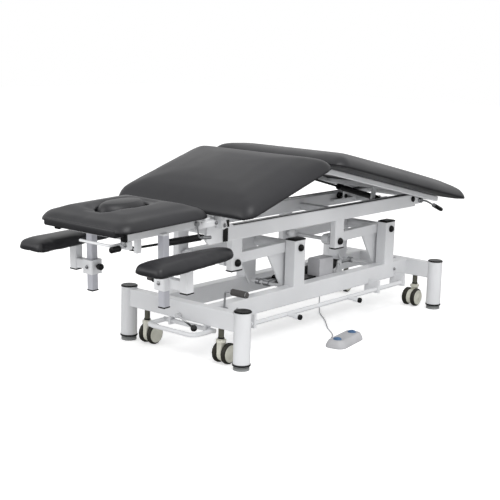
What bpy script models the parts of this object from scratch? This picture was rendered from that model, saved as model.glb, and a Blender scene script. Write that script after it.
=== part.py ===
"""Electric treatment table: lifting base, three upholstered sections, armrests, castors and a foot switch.

Metres, +Z up. The drawing frame has its origin on the floor at the middle of the base, +X to the
foot end and -Y to the side with the foot bar. Every piece is drawn with the three sections level;
the pivots then tilt the sections to their rest position.
"""

import math

import bmesh
import bpy
from mathutils import Matrix, Vector

for old in list(bpy.data.objects):
    bpy.data.objects.remove(old, do_unlink=True)

# Fits
GAP = 0.0003          # seat between touching pieces
BORE_PLAY = 0.0006    # added to a pin diameter for its bore
WELD_STEP = 0.0006    # set-back of a welded piece from the face of its neighbour

# Base frame
COLUMN_X = 0.665      # column and crossbar centres along the table
COLUMN_Y = 0.290
COLUMN_DIA = 0.063
COLUMN_HEIGHT = 0.220
FOOT_DIA = 0.060
FOOT_HEIGHT = 0.016
CAP_HEIGHT = 0.006
RAIL_BOTTOM = 0.138
RAIL_HEIGHT = 0.070
RAIL_WIDTH = 0.050
CROSSBAR_WIDTH = 0.040
FRAME_HALF = 0.1516   # outer faces of rails, posts and beams
POST_LENGTH = 0.070
POST_TOP = 0.392
TUBE_ROUND = 0.004    # corner rounding of the square tubes

# Lift arms
HEAD_BASE_PIVOT_X = -0.1533
PIVOT_SPAN = 0.6544   # head pivots to foot pivots
BASE_PIVOT_Z = 0.3625
ARM_LENGTH = 0.3865
ARM_DROP = math.radians(1.1)
ARM_HEIGHT = 0.040
ARM_INNER = 0.070
ARM_WIDTH = 0.0306
SHAFT_DIA = 0.016
DOME_DIA = 0.027
TORSION_DIA = 0.045
LEVER_BACK = 0.018    # lever pin behind and below the base pivot
LEVER_DROP = 0.165
LEVER_PIN_DIA = 0.014
GUSSET_REACH = 0.130
GUSSET_WIDTH = 0.008
TIE_Y = 0.045
TIE_DIA = 0.016

# Actuator
ACTUATOR_X = 0.300    # rear pivot
ACTUATOR_Z = 0.215
ACTUATOR_TUBE_DIA = 0.048
ACTUATOR_BORE = 0.038
ACTUATOR_TUBE_LENGTH = 0.415
MOTOR_LENGTH = 0.080
MOTOR_SET_BACK = 0.075
MOTOR_OUT = 0.092
MOTOR_HEIGHT = 0.036
REAR_EYE_WIDTH = 0.032
FRONT_EYE_WIDTH = 0.028
ACTUATOR_ROD_DIA = 0.020
ACTUATOR_ROD_LENGTH = 0.262
MOUNT_LENGTH = 0.060
CONTROL_BOX_X = 0.050
CONTROL_BOX_LENGTH = 0.095
CONTROL_BOX_TOP = 0.280

# Upper frame
BEAM_BOTTOM = 0.443
BEAM_HEIGHT = 0.057
BEAM_WIDTH = 0.040
BEAM_HEAD = -0.593
BEAM_FOOT = 0.694
HANGER_LENGTH = 0.060
HANGER_WIDTH = 0.030
HANGER_BELOW = 0.0264
BRACKET_HEAD = -0.712
BRACKET_WIDTH = 0.012

# Sections
MID_PIVOT = (-0.655, 0.515)
KNEE = (-0.145, 0.551)
MID_TILT = math.radians(16.8)
LEG_TILT = math.radians(12.77)
HEAD_PIVOT = (-0.693, 0.533)
HEAD_TILT = math.radians(1.8)
PAD_BOTTOM = 0.560
PAD_THICK = 0.074
PAD_HALF_WIDTH = 0.350
PAD_CORNER = 0.055
PAD_ROLL = 0.050      # how far in from the edge the top rolls down
PAD_CROWN = 0.022
PAD_TAPER = 0.30      # share of the thickness lost at the head and foot edges
PAD_TAPER_RUN = 0.130
PAD_JOINT = 0.012     # slit between the two long pads
MID_PAD_HEAD = -0.700
LEG_PAD_FOOT = 0.900
SIDE_TUBE_Y = 0.185
SIDE_TUBE_WIDTH = 0.025
SIDE_TUBE_HEIGHT = 0.022
HINGE_PIN_DIA = 0.012
KNEE_PIN_DIA = 0.008
ROLLER_REACH = 0.668  # knee to roller shaft along the leg section
ROLLER_DROP = 0.064
ROLLER_DIA = 0.028
ROLLER_SHAFT_DIA = 0.012

# Head section
HEAD_PAD_FOOT = -0.745
HEAD_PAD_HEAD = -1.195
HEAD_PAD_HALF_WIDTH = 0.225
HEAD_PAD_LIFT = -0.004
HEAD_PAD_THICK = 0.064
HEAD_TAPER_RUN = 0.110
HEAD_TUBE_Y = 0.165
HEAD_TUBE_TOP = 0.5535
HEAD_TUBE_HEIGHT = 0.028
HEAD_TUBE_FOOT = -0.775
FACE_X = -0.985
FACE_LENGTH = 0.215
FACE_WIDTH = 0.140
FACE_PROUD = 0.020
FACE_CROWN = 0.016
FACE_ROLL = 0.025
HEAD_END_CLEAR = 0.070     # head spring pin to the ends of the head tubes
ROLL_BLOCK_LENGTH = 0.024
ROLL_BLOCK_WIDTH = 0.033
ROLL_BLOCK_HEIGHT = 0.027
ROLL_REACH = 0.045         # block to the part of the rod that runs across
ROLL_ROD_DIA = 0.010
ROLL_ROD_LENGTH = 0.150
ROLL_SCREW_DIA = 0.008
ROLL_SCREW_LENGTH = 0.016  # bare clamp screw between the block and its knob
ROLL_KNOB_DIA = 0.019
ROLL_KNOB_LENGTH = 0.038

# Gas springs
SPRING_DIA = 0.026
SPRING_BORE = 0.021
SPRING_ROD_DIA = 0.009
LEG_SPRING_X = 0.575  # pin on the upper frame
LEG_SPRING_Z = 0.476
LEG_SPRING_REACH = 0.200
LEG_SPRING_DROP = 0.030
LEG_SPRING_Y = -0.030
HEAD_SPRING_X = -0.700
HEAD_SPRING_Z = 0.470
HEAD_SPRING_REACH = 0.367
HEAD_SPRING_DROP = 0.048
HEAD_SPRING_Y = 0.124
SPRING_PIN_DIA = 0.008

# Armrests
ARMREST_X = -0.965
ARMREST_Y = 0.180
ARMREST_POST = 0.030
ARMREST_POST_BOTTOM = 0.275
SLEEVE_BOTTOM = 0.335
SLEEVE_HEIGHT = 0.052
SLEEVE_WALL = 0.010
SLEEVE_PLAY = 0.0005
ARM_PAD_POST = 0.035
ARM_PAD_POST_X = -0.955
ARM_PAD_POST_Y = 0.278
ARM_PAD_BOTTOM = 0.430
ARM_PAD_THICK = 0.042
ARM_PAD_CROWN = 0.006
ARM_PAD_ROLL = 0.020
ARM_PAD_HEAD = -1.168
ARM_PAD_FOOT = -0.740
ARM_PAD_INNER = 0.227
ARM_PAD_OUTER = 0.360

# Castors
CASTOR_Y = 0.190
CASTOR_TRAIL = 0.020
WHEEL_DIA = 0.080
WHEEL_WIDTH = 0.019
WHEEL_SPACING = 0.044
CASTOR_STEM_DIA = 0.022
AXLE_DIA = 0.010

# Foot and hand controls
BAR_Y = 0.190
BAR_Z = 0.120
BAR_DIA = 0.019
BAR_HEAD = -0.500
BAR_FOOT = 0.570
PEG_HEAD_X = -0.280
PEG_FOOT_X = 0.126
PEG_OUT = 0.262
LOOP_OUT = 0.105      # pedal loop beyond the crossbar
LOOP_Z = 0.118
LOOP_DIA = 0.018
LOOP_NEAR = -0.150
LOOP_FAR = 0.090
PEDAL_OUT = 0.057     # ball pedal beyond the crossbar
PEDAL_Y = 0.106
PEDAL_Z = 0.130
PEDAL_BALL_DIA = 0.026
HAND_LEVER_BACK = 0.045
HAND_LEVER_RISE = 0.265
GRIP_OUT = 0.270
GRIP_DIA = 0.024
RELEASE_X = 0.727
RELEASE_Z = 0.468
RELEASE_REACH = 0.190
RELEASE_DROP = 0.062

# Foot switch and cord
SWITCH_X = -0.100
SWITCH_Y = -0.3465
SWITCH_TURN = math.radians(10.0)
SWITCH_LENGTH = 0.210
SWITCH_DEPTH = 0.085
SWITCH_HEIGHT = 0.030
BUTTON_SPACING = 0.133
BUTTON_DIA = 0.034
CORD_DIA = 0.005
CORD_STEP = 0.0145
GLAND_PLACE = (0.315, 0.085)

# Sizes that follow from the ones above
RAIL_TOP = RAIL_BOTTOM + RAIL_HEIGHT
LOOP_FRONT = -COLUMN_X - LOOP_OUT
PEDAL_BALL = (-COLUMN_X - PEDAL_OUT, -PEDAL_Y, PEDAL_Z)
HAND_LEVER_X = -COLUMN_X + HAND_LEVER_BACK
RAIL_INNER = FRAME_HALF - RAIL_WIDTH
BEAM_TOP = BEAM_BOTTOM + BEAM_HEIGHT
BEAM_INNER = FRAME_HALF - BEAM_WIDTH
ARM_OUTER = ARM_INNER + ARM_WIDTH
HANGER_INNER = FRAME_HALF - HANGER_WIDTH
HEAD_BASE_PIVOT = (HEAD_BASE_PIVOT_X, BASE_PIVOT_Z)
FOOT_BASE_PIVOT = (HEAD_BASE_PIVOT_X + PIVOT_SPAN, BASE_PIVOT_Z)
ARM_RUN = ARM_LENGTH * math.cos(ARM_DROP)
FRAME_PIVOT_Z = BASE_PIVOT_Z - ARM_LENGTH * math.sin(ARM_DROP)
HEAD_FRAME_PIVOT = (HEAD_BASE_PIVOT[0] - ARM_RUN, FRAME_PIVOT_Z)
FOOT_FRAME_PIVOT = (FOOT_BASE_PIVOT[0] - ARM_RUN, FRAME_PIVOT_Z)
HEAD_LEVER_PIN = (HEAD_BASE_PIVOT[0] - LEVER_BACK, BASE_PIVOT_Z - LEVER_DROP)
FOOT_LEVER_PIN = (FOOT_BASE_PIVOT[0] - LEVER_BACK, BASE_PIVOT_Z - LEVER_DROP)
ACTUATOR_RISE = math.atan2(HEAD_LEVER_PIN[1] - ACTUATOR_Z, ACTUATOR_X - HEAD_LEVER_PIN[0])
SIDE_TUBE_TOP = PAD_BOTTOM - GAP
SIDE_TUBE_BOTTOM = SIDE_TUBE_TOP - SIDE_TUBE_HEIGHT
SIDE_TUBE_IN = SIDE_TUBE_Y - SIDE_TUBE_WIDTH / 2
SIDE_TUBE_OUT = SIDE_TUBE_Y + SIDE_TUBE_WIDTH / 2
ROLLER = (KNEE[0] + ROLLER_REACH, KNEE[1] - ROLLER_DROP)
LEG_SPRING_PIN = (KNEE[0] + LEG_SPRING_REACH, KNEE[1] - LEG_SPRING_DROP)
HEAD_SPRING_PIN = (HEAD_PIVOT[0] - HEAD_SPRING_REACH, HEAD_PIVOT[1] - HEAD_SPRING_DROP)
HEAD_TUBE_HEAD = HEAD_SPRING_PIN[0] - HEAD_END_CLEAR
HEAD_TUBE_IN = HEAD_TUBE_Y - SIDE_TUBE_WIDTH / 2
HEAD_TUBE_OUT = HEAD_TUBE_Y + SIDE_TUBE_WIDTH / 2
HEAD_TUBE_BOTTOM = HEAD_TUBE_TOP - HEAD_TUBE_HEIGHT
HEAD_PAD_BOTTOM = PAD_BOTTOM + HEAD_PAD_LIFT
SLEEVE_HALF = ARMREST_POST / 2 + SLEEVE_PLAY + SLEEVE_WALL

table = bpy.data.collections.new("electric_treatment_table")
bpy.context.scene.collection.children.link(table)


class Pivot:
    """An empty on a joint axis, with the place it has in the level drawing."""

    def __init__(self, name, place, parent=None, turn=0.0, spin=0.0):
        self.place = Vector(place)
        self.empty = bpy.data.objects.new(name, None)
        self.empty.empty_display_size = 0.03
        table.objects.link(self.empty)
        self.empty.rotation_euler = (0.0, turn, spin)
        if parent:
            self.empty.parent = parent.empty
            self.empty.location = self.place - parent.place
        else:
            self.empty.location = self.place


def colour(name, red, green, blue, roughness, metallic=0.0):
    material = bpy.data.materials.new(name)
    material.use_nodes = True
    surface = material.node_tree.nodes["Principled BSDF"]
    surface.inputs["Base Color"].default_value = (red, green, blue, 1.0)
    surface.inputs["Roughness"].default_value = roughness
    surface.inputs["Metallic"].default_value = metallic
    return material


WHITE = colour("white_powder_coat", 0.76, 0.76, 0.79, 0.35)
BLACK = colour("black_plastic", 0.008, 0.008, 0.009, 0.4)
CHARCOAL = colour("charcoal_upholstery", 0.055, 0.055, 0.062, 0.5)
STEEL = colour("bright_steel", 0.45, 0.45, 0.46, 0.3, 1.0)
GREY = colour("grey_plastic", 0.28, 0.28, 0.29, 0.45)
CREAM = colour("cream_plastic", 0.58, 0.57, 0.48, 0.4)
TYRE = colour("dark_tyre", 0.02, 0.018, 0.012, 0.6)
BLUE = colour("blue_plastic", 0.06, 0.14, 0.25, 0.35)
RUBBER = colour("grey_rubber", 0.07, 0.068, 0.068, 0.7)


def block(x0, x1, y0, y1, z0, z1, along="", rounding=TUBE_ROUND):
    """A box; the edges that run along the named axis are rounded."""
    bm = bmesh.new()
    middle = Vector(((x0 + x1) / 2, (y0 + y1) / 2, (z0 + z1) / 2))
    size = Matrix.Diagonal((x1 - x0, y1 - y0, z1 - z0, 1.0))
    bmesh.ops.create_cube(bm, size=1.0, matrix=Matrix.Translation(middle) @ size)
    if along:
        number = "XYZ".index(along)
        long_edges = []
        for edge in bm.edges:
            run = edge.verts[1].co - edge.verts[0].co
            if abs(run[number]) > 0.9 * run.length:
                long_edges.append(edge)
        steps = 2 if rounding >= TUBE_ROUND else 1
        bmesh.ops.bevel(bm, geom=long_edges, offset=rounding, segments=steps, profile=0.5, affect="EDGES")
    return bm


def rod(start, end, diameter, sides=12):
    """A round bar from one point to another."""
    bm = bmesh.new()
    start = Vector(start)
    run = Vector(end) - start
    place = Matrix.Translation(start + run / 2) @ run.to_track_quat("Z", "Y").to_matrix().to_4x4()
    bmesh.ops.create_cone(
        bm, cap_ends=True, segments=sides, radius1=diameter / 2,
        radius2=diameter / 2, depth=run.length, matrix=place
    )
    return bm


def cross_rod(place, y0, y1, diameter, sides=12):
    """A round bar across the table at an (x, z) place."""
    return rod((place[0], y0, place[1]), (place[0], y1, place[1]), diameter, sides)


def ball(centre, diameter, sides=12):
    bm = bmesh.new()
    bmesh.ops.create_uvsphere(
        bm, u_segments=sides, v_segments=sides // 2,
        radius=diameter / 2, matrix=Matrix.Translation(Vector(centre))
    )
    return bm


def plate(outline, y0, y1):
    """A flat plate: an outline of (x, z) points given a thickness across the table."""
    bm = bmesh.new()
    face = bm.faces.new([bm.verts.new((x, y0, z)) for x, z in outline])
    grown = bmesh.ops.extrude_face_region(bm, geom=[face])
    moved = [item for item in grown["geom"] if isinstance(item, bmesh.types.BMVert)]
    bmesh.ops.translate(bm, verts=moved, vec=(0.0, y1 - y0, 0.0))
    bmesh.ops.recalc_face_normals(bm, faces=bm.faces)
    return bm


def turned(profile, place, direction, sides=24):
    """A lathe piece: (radius, distance) points spun about a line through the place."""
    bm = bmesh.new()
    verts = [bm.verts.new((radius, 0.0, along)) for radius, along in profile]
    edges = [bm.edges.new(pair) for pair in zip(verts, verts[1:])]
    bmesh.ops.spin(
        bm, geom=verts + edges, axis=(0, 0, 1), cent=(0, 0, 0), angle=math.tau, steps=sides, use_merge=True
    )
    bmesh.ops.remove_doubles(bm, verts=bm.verts, dist=1e-6)
    turn = Vector(direction).to_track_quat("Z", "Y").to_matrix().to_4x4()
    bm.transform(Matrix.Translation(Vector(place)) @ turn)
    bmesh.ops.recalc_face_normals(bm, faces=bm.faces)
    if bm.calc_volume(signed=True) < 0:
        bmesh.ops.reverse_faces(bm, faces=bm.faces)
    return bm


def bent(points, diameter, bend, sides=3):
    """A round bar through corner points, each corner eased over the bend length."""
    eased = [Vector(points[0])]
    for before, corner, after in zip(points, points[1:], points[2:]):
        corner = Vector(corner)
        start = corner + (Vector(before) - corner).normalized() * bend
        end = corner + (Vector(after) - corner).normalized() * bend
        for step in range(4):
            t = step / 3
            eased.append((1 - t) ** 2 * start + 2 * t * (1 - t) * corner + t * t * end)
    eased.append(Vector(points[-1]))
    return tube(eased, diameter, sides)


def tube(points, diameter, fineness):
    """A round bar along closely spaced points."""
    path = bpy.data.curves.new("path", "CURVE")
    path.dimensions = "3D"
    path.bevel_depth = diameter / 2
    path.bevel_resolution = fineness
    path.use_fill_caps = True
    spline = path.splines.new("POLY")
    spline.points.add(len(points) - 1)
    for knot, point in zip(spline.points, points):
        knot.co = (*point, 1.0)
    carrier = bpy.data.objects.new("path", path)
    bpy.context.scene.collection.objects.link(carrier)
    depsgraph = bpy.context.evaluated_depsgraph_get()
    mesh = bpy.data.meshes.new_from_object(carrier.evaluated_get(depsgraph))
    bpy.data.objects.remove(carrier, do_unlink=True)
    bm = bmesh.new()
    bm.from_mesh(mesh)
    bmesh.ops.remove_doubles(bm, verts=bm.verts, dist=1e-6)
    bmesh.ops.recalc_face_normals(bm, faces=bm.faces)
    return bm


def mirrored(bm):
    """The same piece on the other side of the table's middle plane."""
    other = bm.copy()
    bmesh.ops.scale(other, vec=(1.0, -1.0, 1.0), verts=other.verts)
    bmesh.ops.reverse_faces(other, faces=other.faces)
    return other


def pair(bm):
    return [bm, mirrored(bm)]


def shape(bm):
    mesh = bpy.data.meshes.new("shape")
    bm.to_mesh(mesh)
    bm.free()
    return mesh


def weld(pieces, cuts=()):
    """One solid from overlapping pieces, with the cuts taken out of it."""
    holders = []
    for piece in list(pieces) + list(cuts):
        holder = bpy.data.objects.new("piece", shape(piece))
        bpy.context.scene.collection.objects.link(holder)
        holders.append(holder)
    for number, holder in enumerate(holders[1:], start=1):
        step = holders[0].modifiers.new("weld", "BOOLEAN")
        step.solver = "EXACT"
        step.operation = "UNION" if number < len(pieces) else "DIFFERENCE"
        step.object = holder
    depsgraph = bpy.context.evaluated_depsgraph_get()
    mesh = bpy.data.meshes.new_from_object(holders[0].evaluated_get(depsgraph))
    for holder in holders:
        bpy.data.objects.remove(holder, do_unlink=True)
    bm = bmesh.new()
    bm.from_mesh(mesh)
    return bm


def put(name, pivot, material, bm):
    """Make the finished piece an object on its pivot."""
    bm.transform(Matrix.Translation(-pivot.place))
    mesh = shape(bm)
    mesh.name = name
    mesh.materials.clear()
    mesh.materials.append(material)
    piece = bpy.data.objects.new(name, mesh)
    piece.parent = pivot.empty
    table.objects.link(piece)
    return piece

# Pivots: the tree of moving bodies
root = Pivot("table_origin", (0.0, 0.0, 0.0))
head_arm_axis = Pivot("lift_axis", (HEAD_BASE_PIVOT[0], 0.0, HEAD_BASE_PIVOT[1]), root)
foot_arm_axis = Pivot("foot_arm_axis", (FOOT_BASE_PIVOT[0], 0.0, FOOT_BASE_PIVOT[1]), root)
frame_axis = Pivot("frame_axis", (HEAD_FRAME_PIVOT[0], 0.0, HEAD_FRAME_PIVOT[1]), head_arm_axis)
tie_axis = Pivot("tie_rod_axis", (HEAD_LEVER_PIN[0], TIE_Y, HEAD_LEVER_PIN[1]), head_arm_axis)
rod_axis = Pivot(
    "actuator_rod_axis", (HEAD_LEVER_PIN[0], 0.0, HEAD_LEVER_PIN[1]), head_arm_axis, ACTUATOR_RISE,
)
body_axis = Pivot("actuator_axis", (ACTUATOR_X, 0.0, ACTUATOR_Z), root, ACTUATOR_RISE)
mid_axis = Pivot("mid_axis", (MID_PIVOT[0], 0.0, MID_PIVOT[1]), frame_axis, -MID_TILT)
leg_axis = Pivot("knee_axis", (KNEE[0], 0.0, KNEE[1]), mid_axis, MID_TILT + LEG_TILT)
head_axis = Pivot("head_axis", (HEAD_PIVOT[0], 0.0, HEAD_PIVOT[1]), frame_axis, -HEAD_TILT)

# Base: rails, crossbars, columns and posts welded in one
post_base = RAIL_TOP - TUBE_ROUND
base_pieces = []
for x in (-COLUMN_X, COLUMN_X):
    half = CROSSBAR_WIDTH / 2
    base_pieces.append(block(x - half, x + half, -COLUMN_Y, COLUMN_Y, RAIL_BOTTOM, RAIL_TOP, "Y"))
base_pieces += pair(block(-COLUMN_X, COLUMN_X, -FRAME_HALF, -RAIL_INNER, RAIL_BOTTOM, RAIL_TOP, "X"))
for x in (-COLUMN_X, COLUMN_X):
    column_foot = (x, -COLUMN_Y, FOOT_HEIGHT + GAP)
    column_head = (x, -COLUMN_Y, COLUMN_HEIGHT - CAP_HEIGHT - GAP)
    base_pieces += pair(rod(column_foot, column_head, COLUMN_DIA, 24))
for pivot_x in (HEAD_BASE_PIVOT[0], FOOT_BASE_PIVOT[0]):
    half = POST_LENGTH / 2
    post = block(pivot_x - half, pivot_x + half, -FRAME_HALF, -RAIL_INNER, post_base, POST_TOP, "Z")
    base_pieces += pair(post)

# Hangers for the foot bar and the pedal loop
bar_hangers = (BAR_HEAD + 0.012, 0.35, BAR_FOOT - 0.02)
for x in bar_hangers:
    bar_clear = BAR_DIA / 2 + 0.006
    hanger = block(
        x - 0.006, x + 0.006, -BAR_Y - bar_clear, -RAIL_INNER - 0.03, BAR_Z - bar_clear, RAIL_BOTTOM + 0.02,
    )
    base_pieces.append(hanger)
loop_hangers = (LOOP_NEAR + 0.03, LOOP_FAR - 0.03)
for y in loop_hangers:
    loop_clear = LOOP_DIA / 2 + 0.005
    low = LOOP_Z - loop_clear
    base_pieces.append(
        block(-COLUMN_X - loop_clear, -COLUMN_X + loop_clear, y - 0.005, y + 0.005, low, RAIL_BOTTOM + 0.01),
    )
base_cuts = [
    cross_rod(HEAD_BASE_PIVOT, -0.2, 0.2, SHAFT_DIA + BORE_PLAY),
    cross_rod(FOOT_BASE_PIVOT, -0.2, 0.2, SHAFT_DIA + BORE_PLAY),
    rod((BAR_HEAD - 0.05, -BAR_Y, BAR_Z), (BAR_FOOT + 0.05, -BAR_Y, BAR_Z), BAR_DIA + 2 * BORE_PLAY),
    rod((-COLUMN_X, LOOP_NEAR + 0.01, LOOP_Z), (-COLUMN_X, LOOP_FAR - 0.01, LOOP_Z), LOOP_DIA + BORE_PLAY),
]
put("base_frame", root, WHITE, weld(base_pieces, base_cuts))

# Column caps and levelling feet
CORNERS = (
    ("head_near", -1, -1),
    ("head_far", -1, 1),
    ("foot_near", 1, -1),
    ("foot_far", 1, 1),
)
cap_radius = COLUMN_DIA / 2 + 0.0015
cap_bottom = COLUMN_HEIGHT - CAP_HEIGHT
cap_profile = [
    (0.0, 0.0),
    (cap_radius, 0.0),
    (cap_radius, CAP_HEIGHT * 0.6),
    (cap_radius - 0.003, CAP_HEIGHT),
    (0.0, CAP_HEIGHT),
]
foot_radius = FOOT_DIA / 2
foot_profile = [
    (0.0, 0.0),
    (foot_radius, 0.0),
    (foot_radius, FOOT_HEIGHT * 0.6),
    (foot_radius - 0.003, FOOT_HEIGHT * 0.65),
    (foot_radius - 0.003, FOOT_HEIGHT),
    (0.0, FOOT_HEIGHT),
]
for corner, side_x, side_y in CORNERS:
    place = (side_x * COLUMN_X, side_y * COLUMN_Y, 0.0)
    put("levelling_foot_" + corner, root, GREY, turned(foot_profile, place, (0, 0, 1), 18))
    place = (side_x * COLUMN_X, side_y * COLUMN_Y, cap_bottom)
    put("column_cap_" + corner, root, BLACK, turned(cap_profile, place, (0, 0, 1), 20))


# Pivot shafts with domed ends, seated on the outer faces of the posts
def shaft(collar_in, collar_out):
    """Profile of a shaft; the collars fill the space between an arm and its post."""
    radius = SHAFT_DIA / 2
    seat = FRAME_HALF + GAP
    half = [(radius, 0.0)]
    if collar_out > collar_in:
        collar = radius + 0.006
        half += [(radius, collar_in), (collar, collar_in), (collar, collar_out), (radius, collar_out)]
    dome = DOME_DIA / 2
    half += [(radius, seat), (dome, seat), (dome * 0.75, seat + 0.0045), (0.0, seat + 0.006)]
    return [(r, -y) for r, y in reversed(half)] + half[1:]


for name, axis, place in (
    ("head_base_shaft", root, HEAD_BASE_PIVOT),
    ("foot_base_shaft", root, FOOT_BASE_PIVOT),
):
    put(name, axis, BLACK, turned(shaft(0.0, 0.0), (place[0], 0.0, place[1]), (0, 1, 0), 12))
collar_in = ARM_OUTER + GAP
collar_out = HANGER_INNER - GAP
for name, place in (("head_frame_shaft", HEAD_FRAME_PIVOT), ("foot_frame_shaft", FOOT_FRAME_PIVOT)):
    bar = turned(shaft(collar_in, collar_out), (place[0], 0.0, place[1]), (0, 1, 0), 12)
    put(name, frame_axis, BLACK, bar)


# Lift arms: two bars, a torsion tube and a pair of gussets that carry the lever pin
def lift_arm(base_pivot, frame_pivot, lever_pin, pin_near, pin_far):
    half = ARM_HEIGHT / 2
    lean = math.atan2(base_pivot[1] - frame_pivot[1], base_pivot[0] - frame_pivot[0])
    side = (-half * math.sin(lean), half * math.cos(lean))
    outline = [
        (base_pivot[0] + side[0], base_pivot[1] + side[1]),
        (frame_pivot[0] + side[0], frame_pivot[1] + side[1]),
        (frame_pivot[0] - side[0], frame_pivot[1] - side[1]),
        (base_pivot[0] - side[0], base_pivot[1] - side[1]),
    ]
    pieces = pair(plate(outline, ARM_INNER, ARM_OUTER))
    pieces += pair(cross_rod(base_pivot, ARM_INNER, ARM_OUTER, ARM_HEIGHT, 16))
    pieces += pair(cross_rod(frame_pivot, ARM_INNER, ARM_OUTER, ARM_HEIGHT, 16))
    middle = ARM_INNER + ARM_WIDTH / 2
    pieces.append(cross_rod(base_pivot, -middle, middle, TORSION_DIA, 16))
    foot = LEVER_PIN_DIA
    gusset = [
        (base_pivot[0] + 0.012, base_pivot[1]),
        (base_pivot[0] + 0.012, base_pivot[1] - half),
        (lever_pin[0] + foot, lever_pin[1]),
        (lever_pin[0] + foot * 0.6, lever_pin[1] - foot),
        (lever_pin[0] - foot * 0.6, lever_pin[1] - foot),
        (base_pivot[0] - GUSSET_REACH, base_pivot[1] - half * 0.9),
        (base_pivot[0] - GUSSET_REACH, base_pivot[1] - half * 0.3),
    ]
    pieces += pair(plate(gusset, middle - GUSSET_WIDTH / 2, middle + GUSSET_WIDTH / 2))
    pieces.append(cross_rod(lever_pin, pin_near, pin_far, LEVER_PIN_DIA))
    cuts = [
        cross_rod(base_pivot, -0.2, 0.2, SHAFT_DIA + BORE_PLAY),
        cross_rod(frame_pivot, -0.2, 0.2, SHAFT_DIA + BORE_PLAY),
    ]
    return weld(pieces, cuts)


pin_end = ARM_INNER + ARM_WIDTH / 2 + GUSSET_WIDTH / 2 + 0.005
head_arm = lift_arm(HEAD_BASE_PIVOT, HEAD_FRAME_PIVOT, HEAD_LEVER_PIN, -pin_end, pin_end)
put("head_lift_arm", head_arm_axis, WHITE, head_arm)
foot_arm = lift_arm(FOOT_BASE_PIVOT, FOOT_FRAME_PIVOT, FOOT_LEVER_PIN, -pin_end, pin_end)
put("foot_lift_arm", foot_arm_axis, WHITE, foot_arm)

# Tie rod between the two levers
eye = LEVER_PIN_DIA + 0.012
tie = weld(
    [
        rod(
            (HEAD_LEVER_PIN[0], TIE_Y, HEAD_LEVER_PIN[1]),
            (FOOT_LEVER_PIN[0], TIE_Y, FOOT_LEVER_PIN[1]), TIE_DIA,
        ),
        cross_rod(HEAD_LEVER_PIN, TIE_Y - 0.009, TIE_Y + 0.009, eye),
        cross_rod(FOOT_LEVER_PIN, TIE_Y - 0.009, TIE_Y + 0.009, eye),
    ],
    [
        cross_rod(HEAD_LEVER_PIN, TIE_Y - 0.02, TIE_Y + 0.02, LEVER_PIN_DIA + BORE_PLAY),
        cross_rod(FOOT_LEVER_PIN, TIE_Y - 0.02, TIE_Y + 0.02, LEVER_PIN_DIA + BORE_PLAY),
    ],
)
put("tie_rod", tie_axis, STEEL, tie)

# Actuator: the rod slides in the tube; both are drawn along X and tilted by their pivots
tube_front = ACTUATOR_X - ACTUATOR_TUBE_LENGTH
bore_end = tube_front + ACTUATOR_ROD_LENGTH - 0.02
motor_z = ACTUATOR_Z - 0.012
rear_half = REAR_EYE_WIDTH / 2
front_half = FRONT_EYE_WIDTH / 2
actuator = weld(
    [
        rod((tube_front, 0, ACTUATOR_Z), (ACTUATOR_X - 0.02, 0, ACTUATOR_Z), ACTUATOR_TUBE_DIA, 18),
        block(
            ACTUATOR_X - 0.04, ACTUATOR_X, -rear_half, rear_half, ACTUATOR_Z - 0.012, ACTUATOR_Z + 0.012,
        ),
        cross_rod((ACTUATOR_X, ACTUATOR_Z), -rear_half, rear_half, 0.034),
        block(
            tube_front + MOTOR_SET_BACK,
            tube_front + MOTOR_SET_BACK + MOTOR_LENGTH,
            -MOTOR_OUT,
            0.0,
            motor_z - MOTOR_HEIGHT / 2,
            motor_z + MOTOR_HEIGHT / 2,
            "Y",
            0.008,
        ),
    ],
    [
        rod((tube_front - 0.02, 0, ACTUATOR_Z), (bore_end, 0, ACTUATOR_Z), ACTUATOR_BORE, 18),
        cross_rod((ACTUATOR_X, ACTUATOR_Z), -REAR_EYE_WIDTH, REAR_EYE_WIDTH, LEVER_PIN_DIA + BORE_PLAY),
    ],
)
put("actuator_body", body_axis, BLACK, actuator)
pin_x, pin_z = HEAD_LEVER_PIN
ram = weld(
    [
        rod((pin_x, 0, pin_z), (pin_x + ACTUATOR_ROD_LENGTH, 0, pin_z), ACTUATOR_ROD_DIA),
        cross_rod(HEAD_LEVER_PIN, -front_half, front_half, eye),
    ],
    [cross_rod(HEAD_LEVER_PIN, -FRONT_EYE_WIDTH, FRONT_EYE_WIDTH, LEVER_PIN_DIA + BORE_PLAY)],
)
put("actuator_rod", rod_axis, STEEL, ram)

# Actuator mount between the rails, with the rear pin in two ears and the cord gland underneath
half = MOUNT_LENGTH / 2
ear_outline = [
    (ACTUATOR_X - half * 0.8, RAIL_BOTTOM + 0.02),
    (ACTUATOR_X + half * 0.8, RAIL_BOTTOM + 0.02),
    (ACTUATOR_X + 0.012, ACTUATOR_Z + 0.014),
    (ACTUATOR_X - 0.012, ACTUATOR_Z + 0.014),
]
mount_top = RAIL_BOTTOM + 0.027
mount = weld(
    [
        block(
            ACTUATOR_X - half,
            ACTUATOR_X + half,
            -RAIL_INNER + GAP,
            RAIL_INNER - GAP,
            mount_top - 0.015,
            mount_top,
        )
    ]
    + pair(plate(ear_outline, 0.020, 0.027))
    + [
        cross_rod((ACTUATOR_X, ACTUATOR_Z), -0.031, 0.031, LEVER_PIN_DIA),
        rod((*GLAND_PLACE, mount_top - 0.033), (*GLAND_PLACE, mount_top - 0.005), 0.015),
    ],
    [rod((*GLAND_PLACE, mount_top - 0.050), (*GLAND_PLACE, mount_top - 0.012), CORD_DIA + BORE_PLAY)],
)
put("actuator_mount", root, WHITE, mount)

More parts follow.
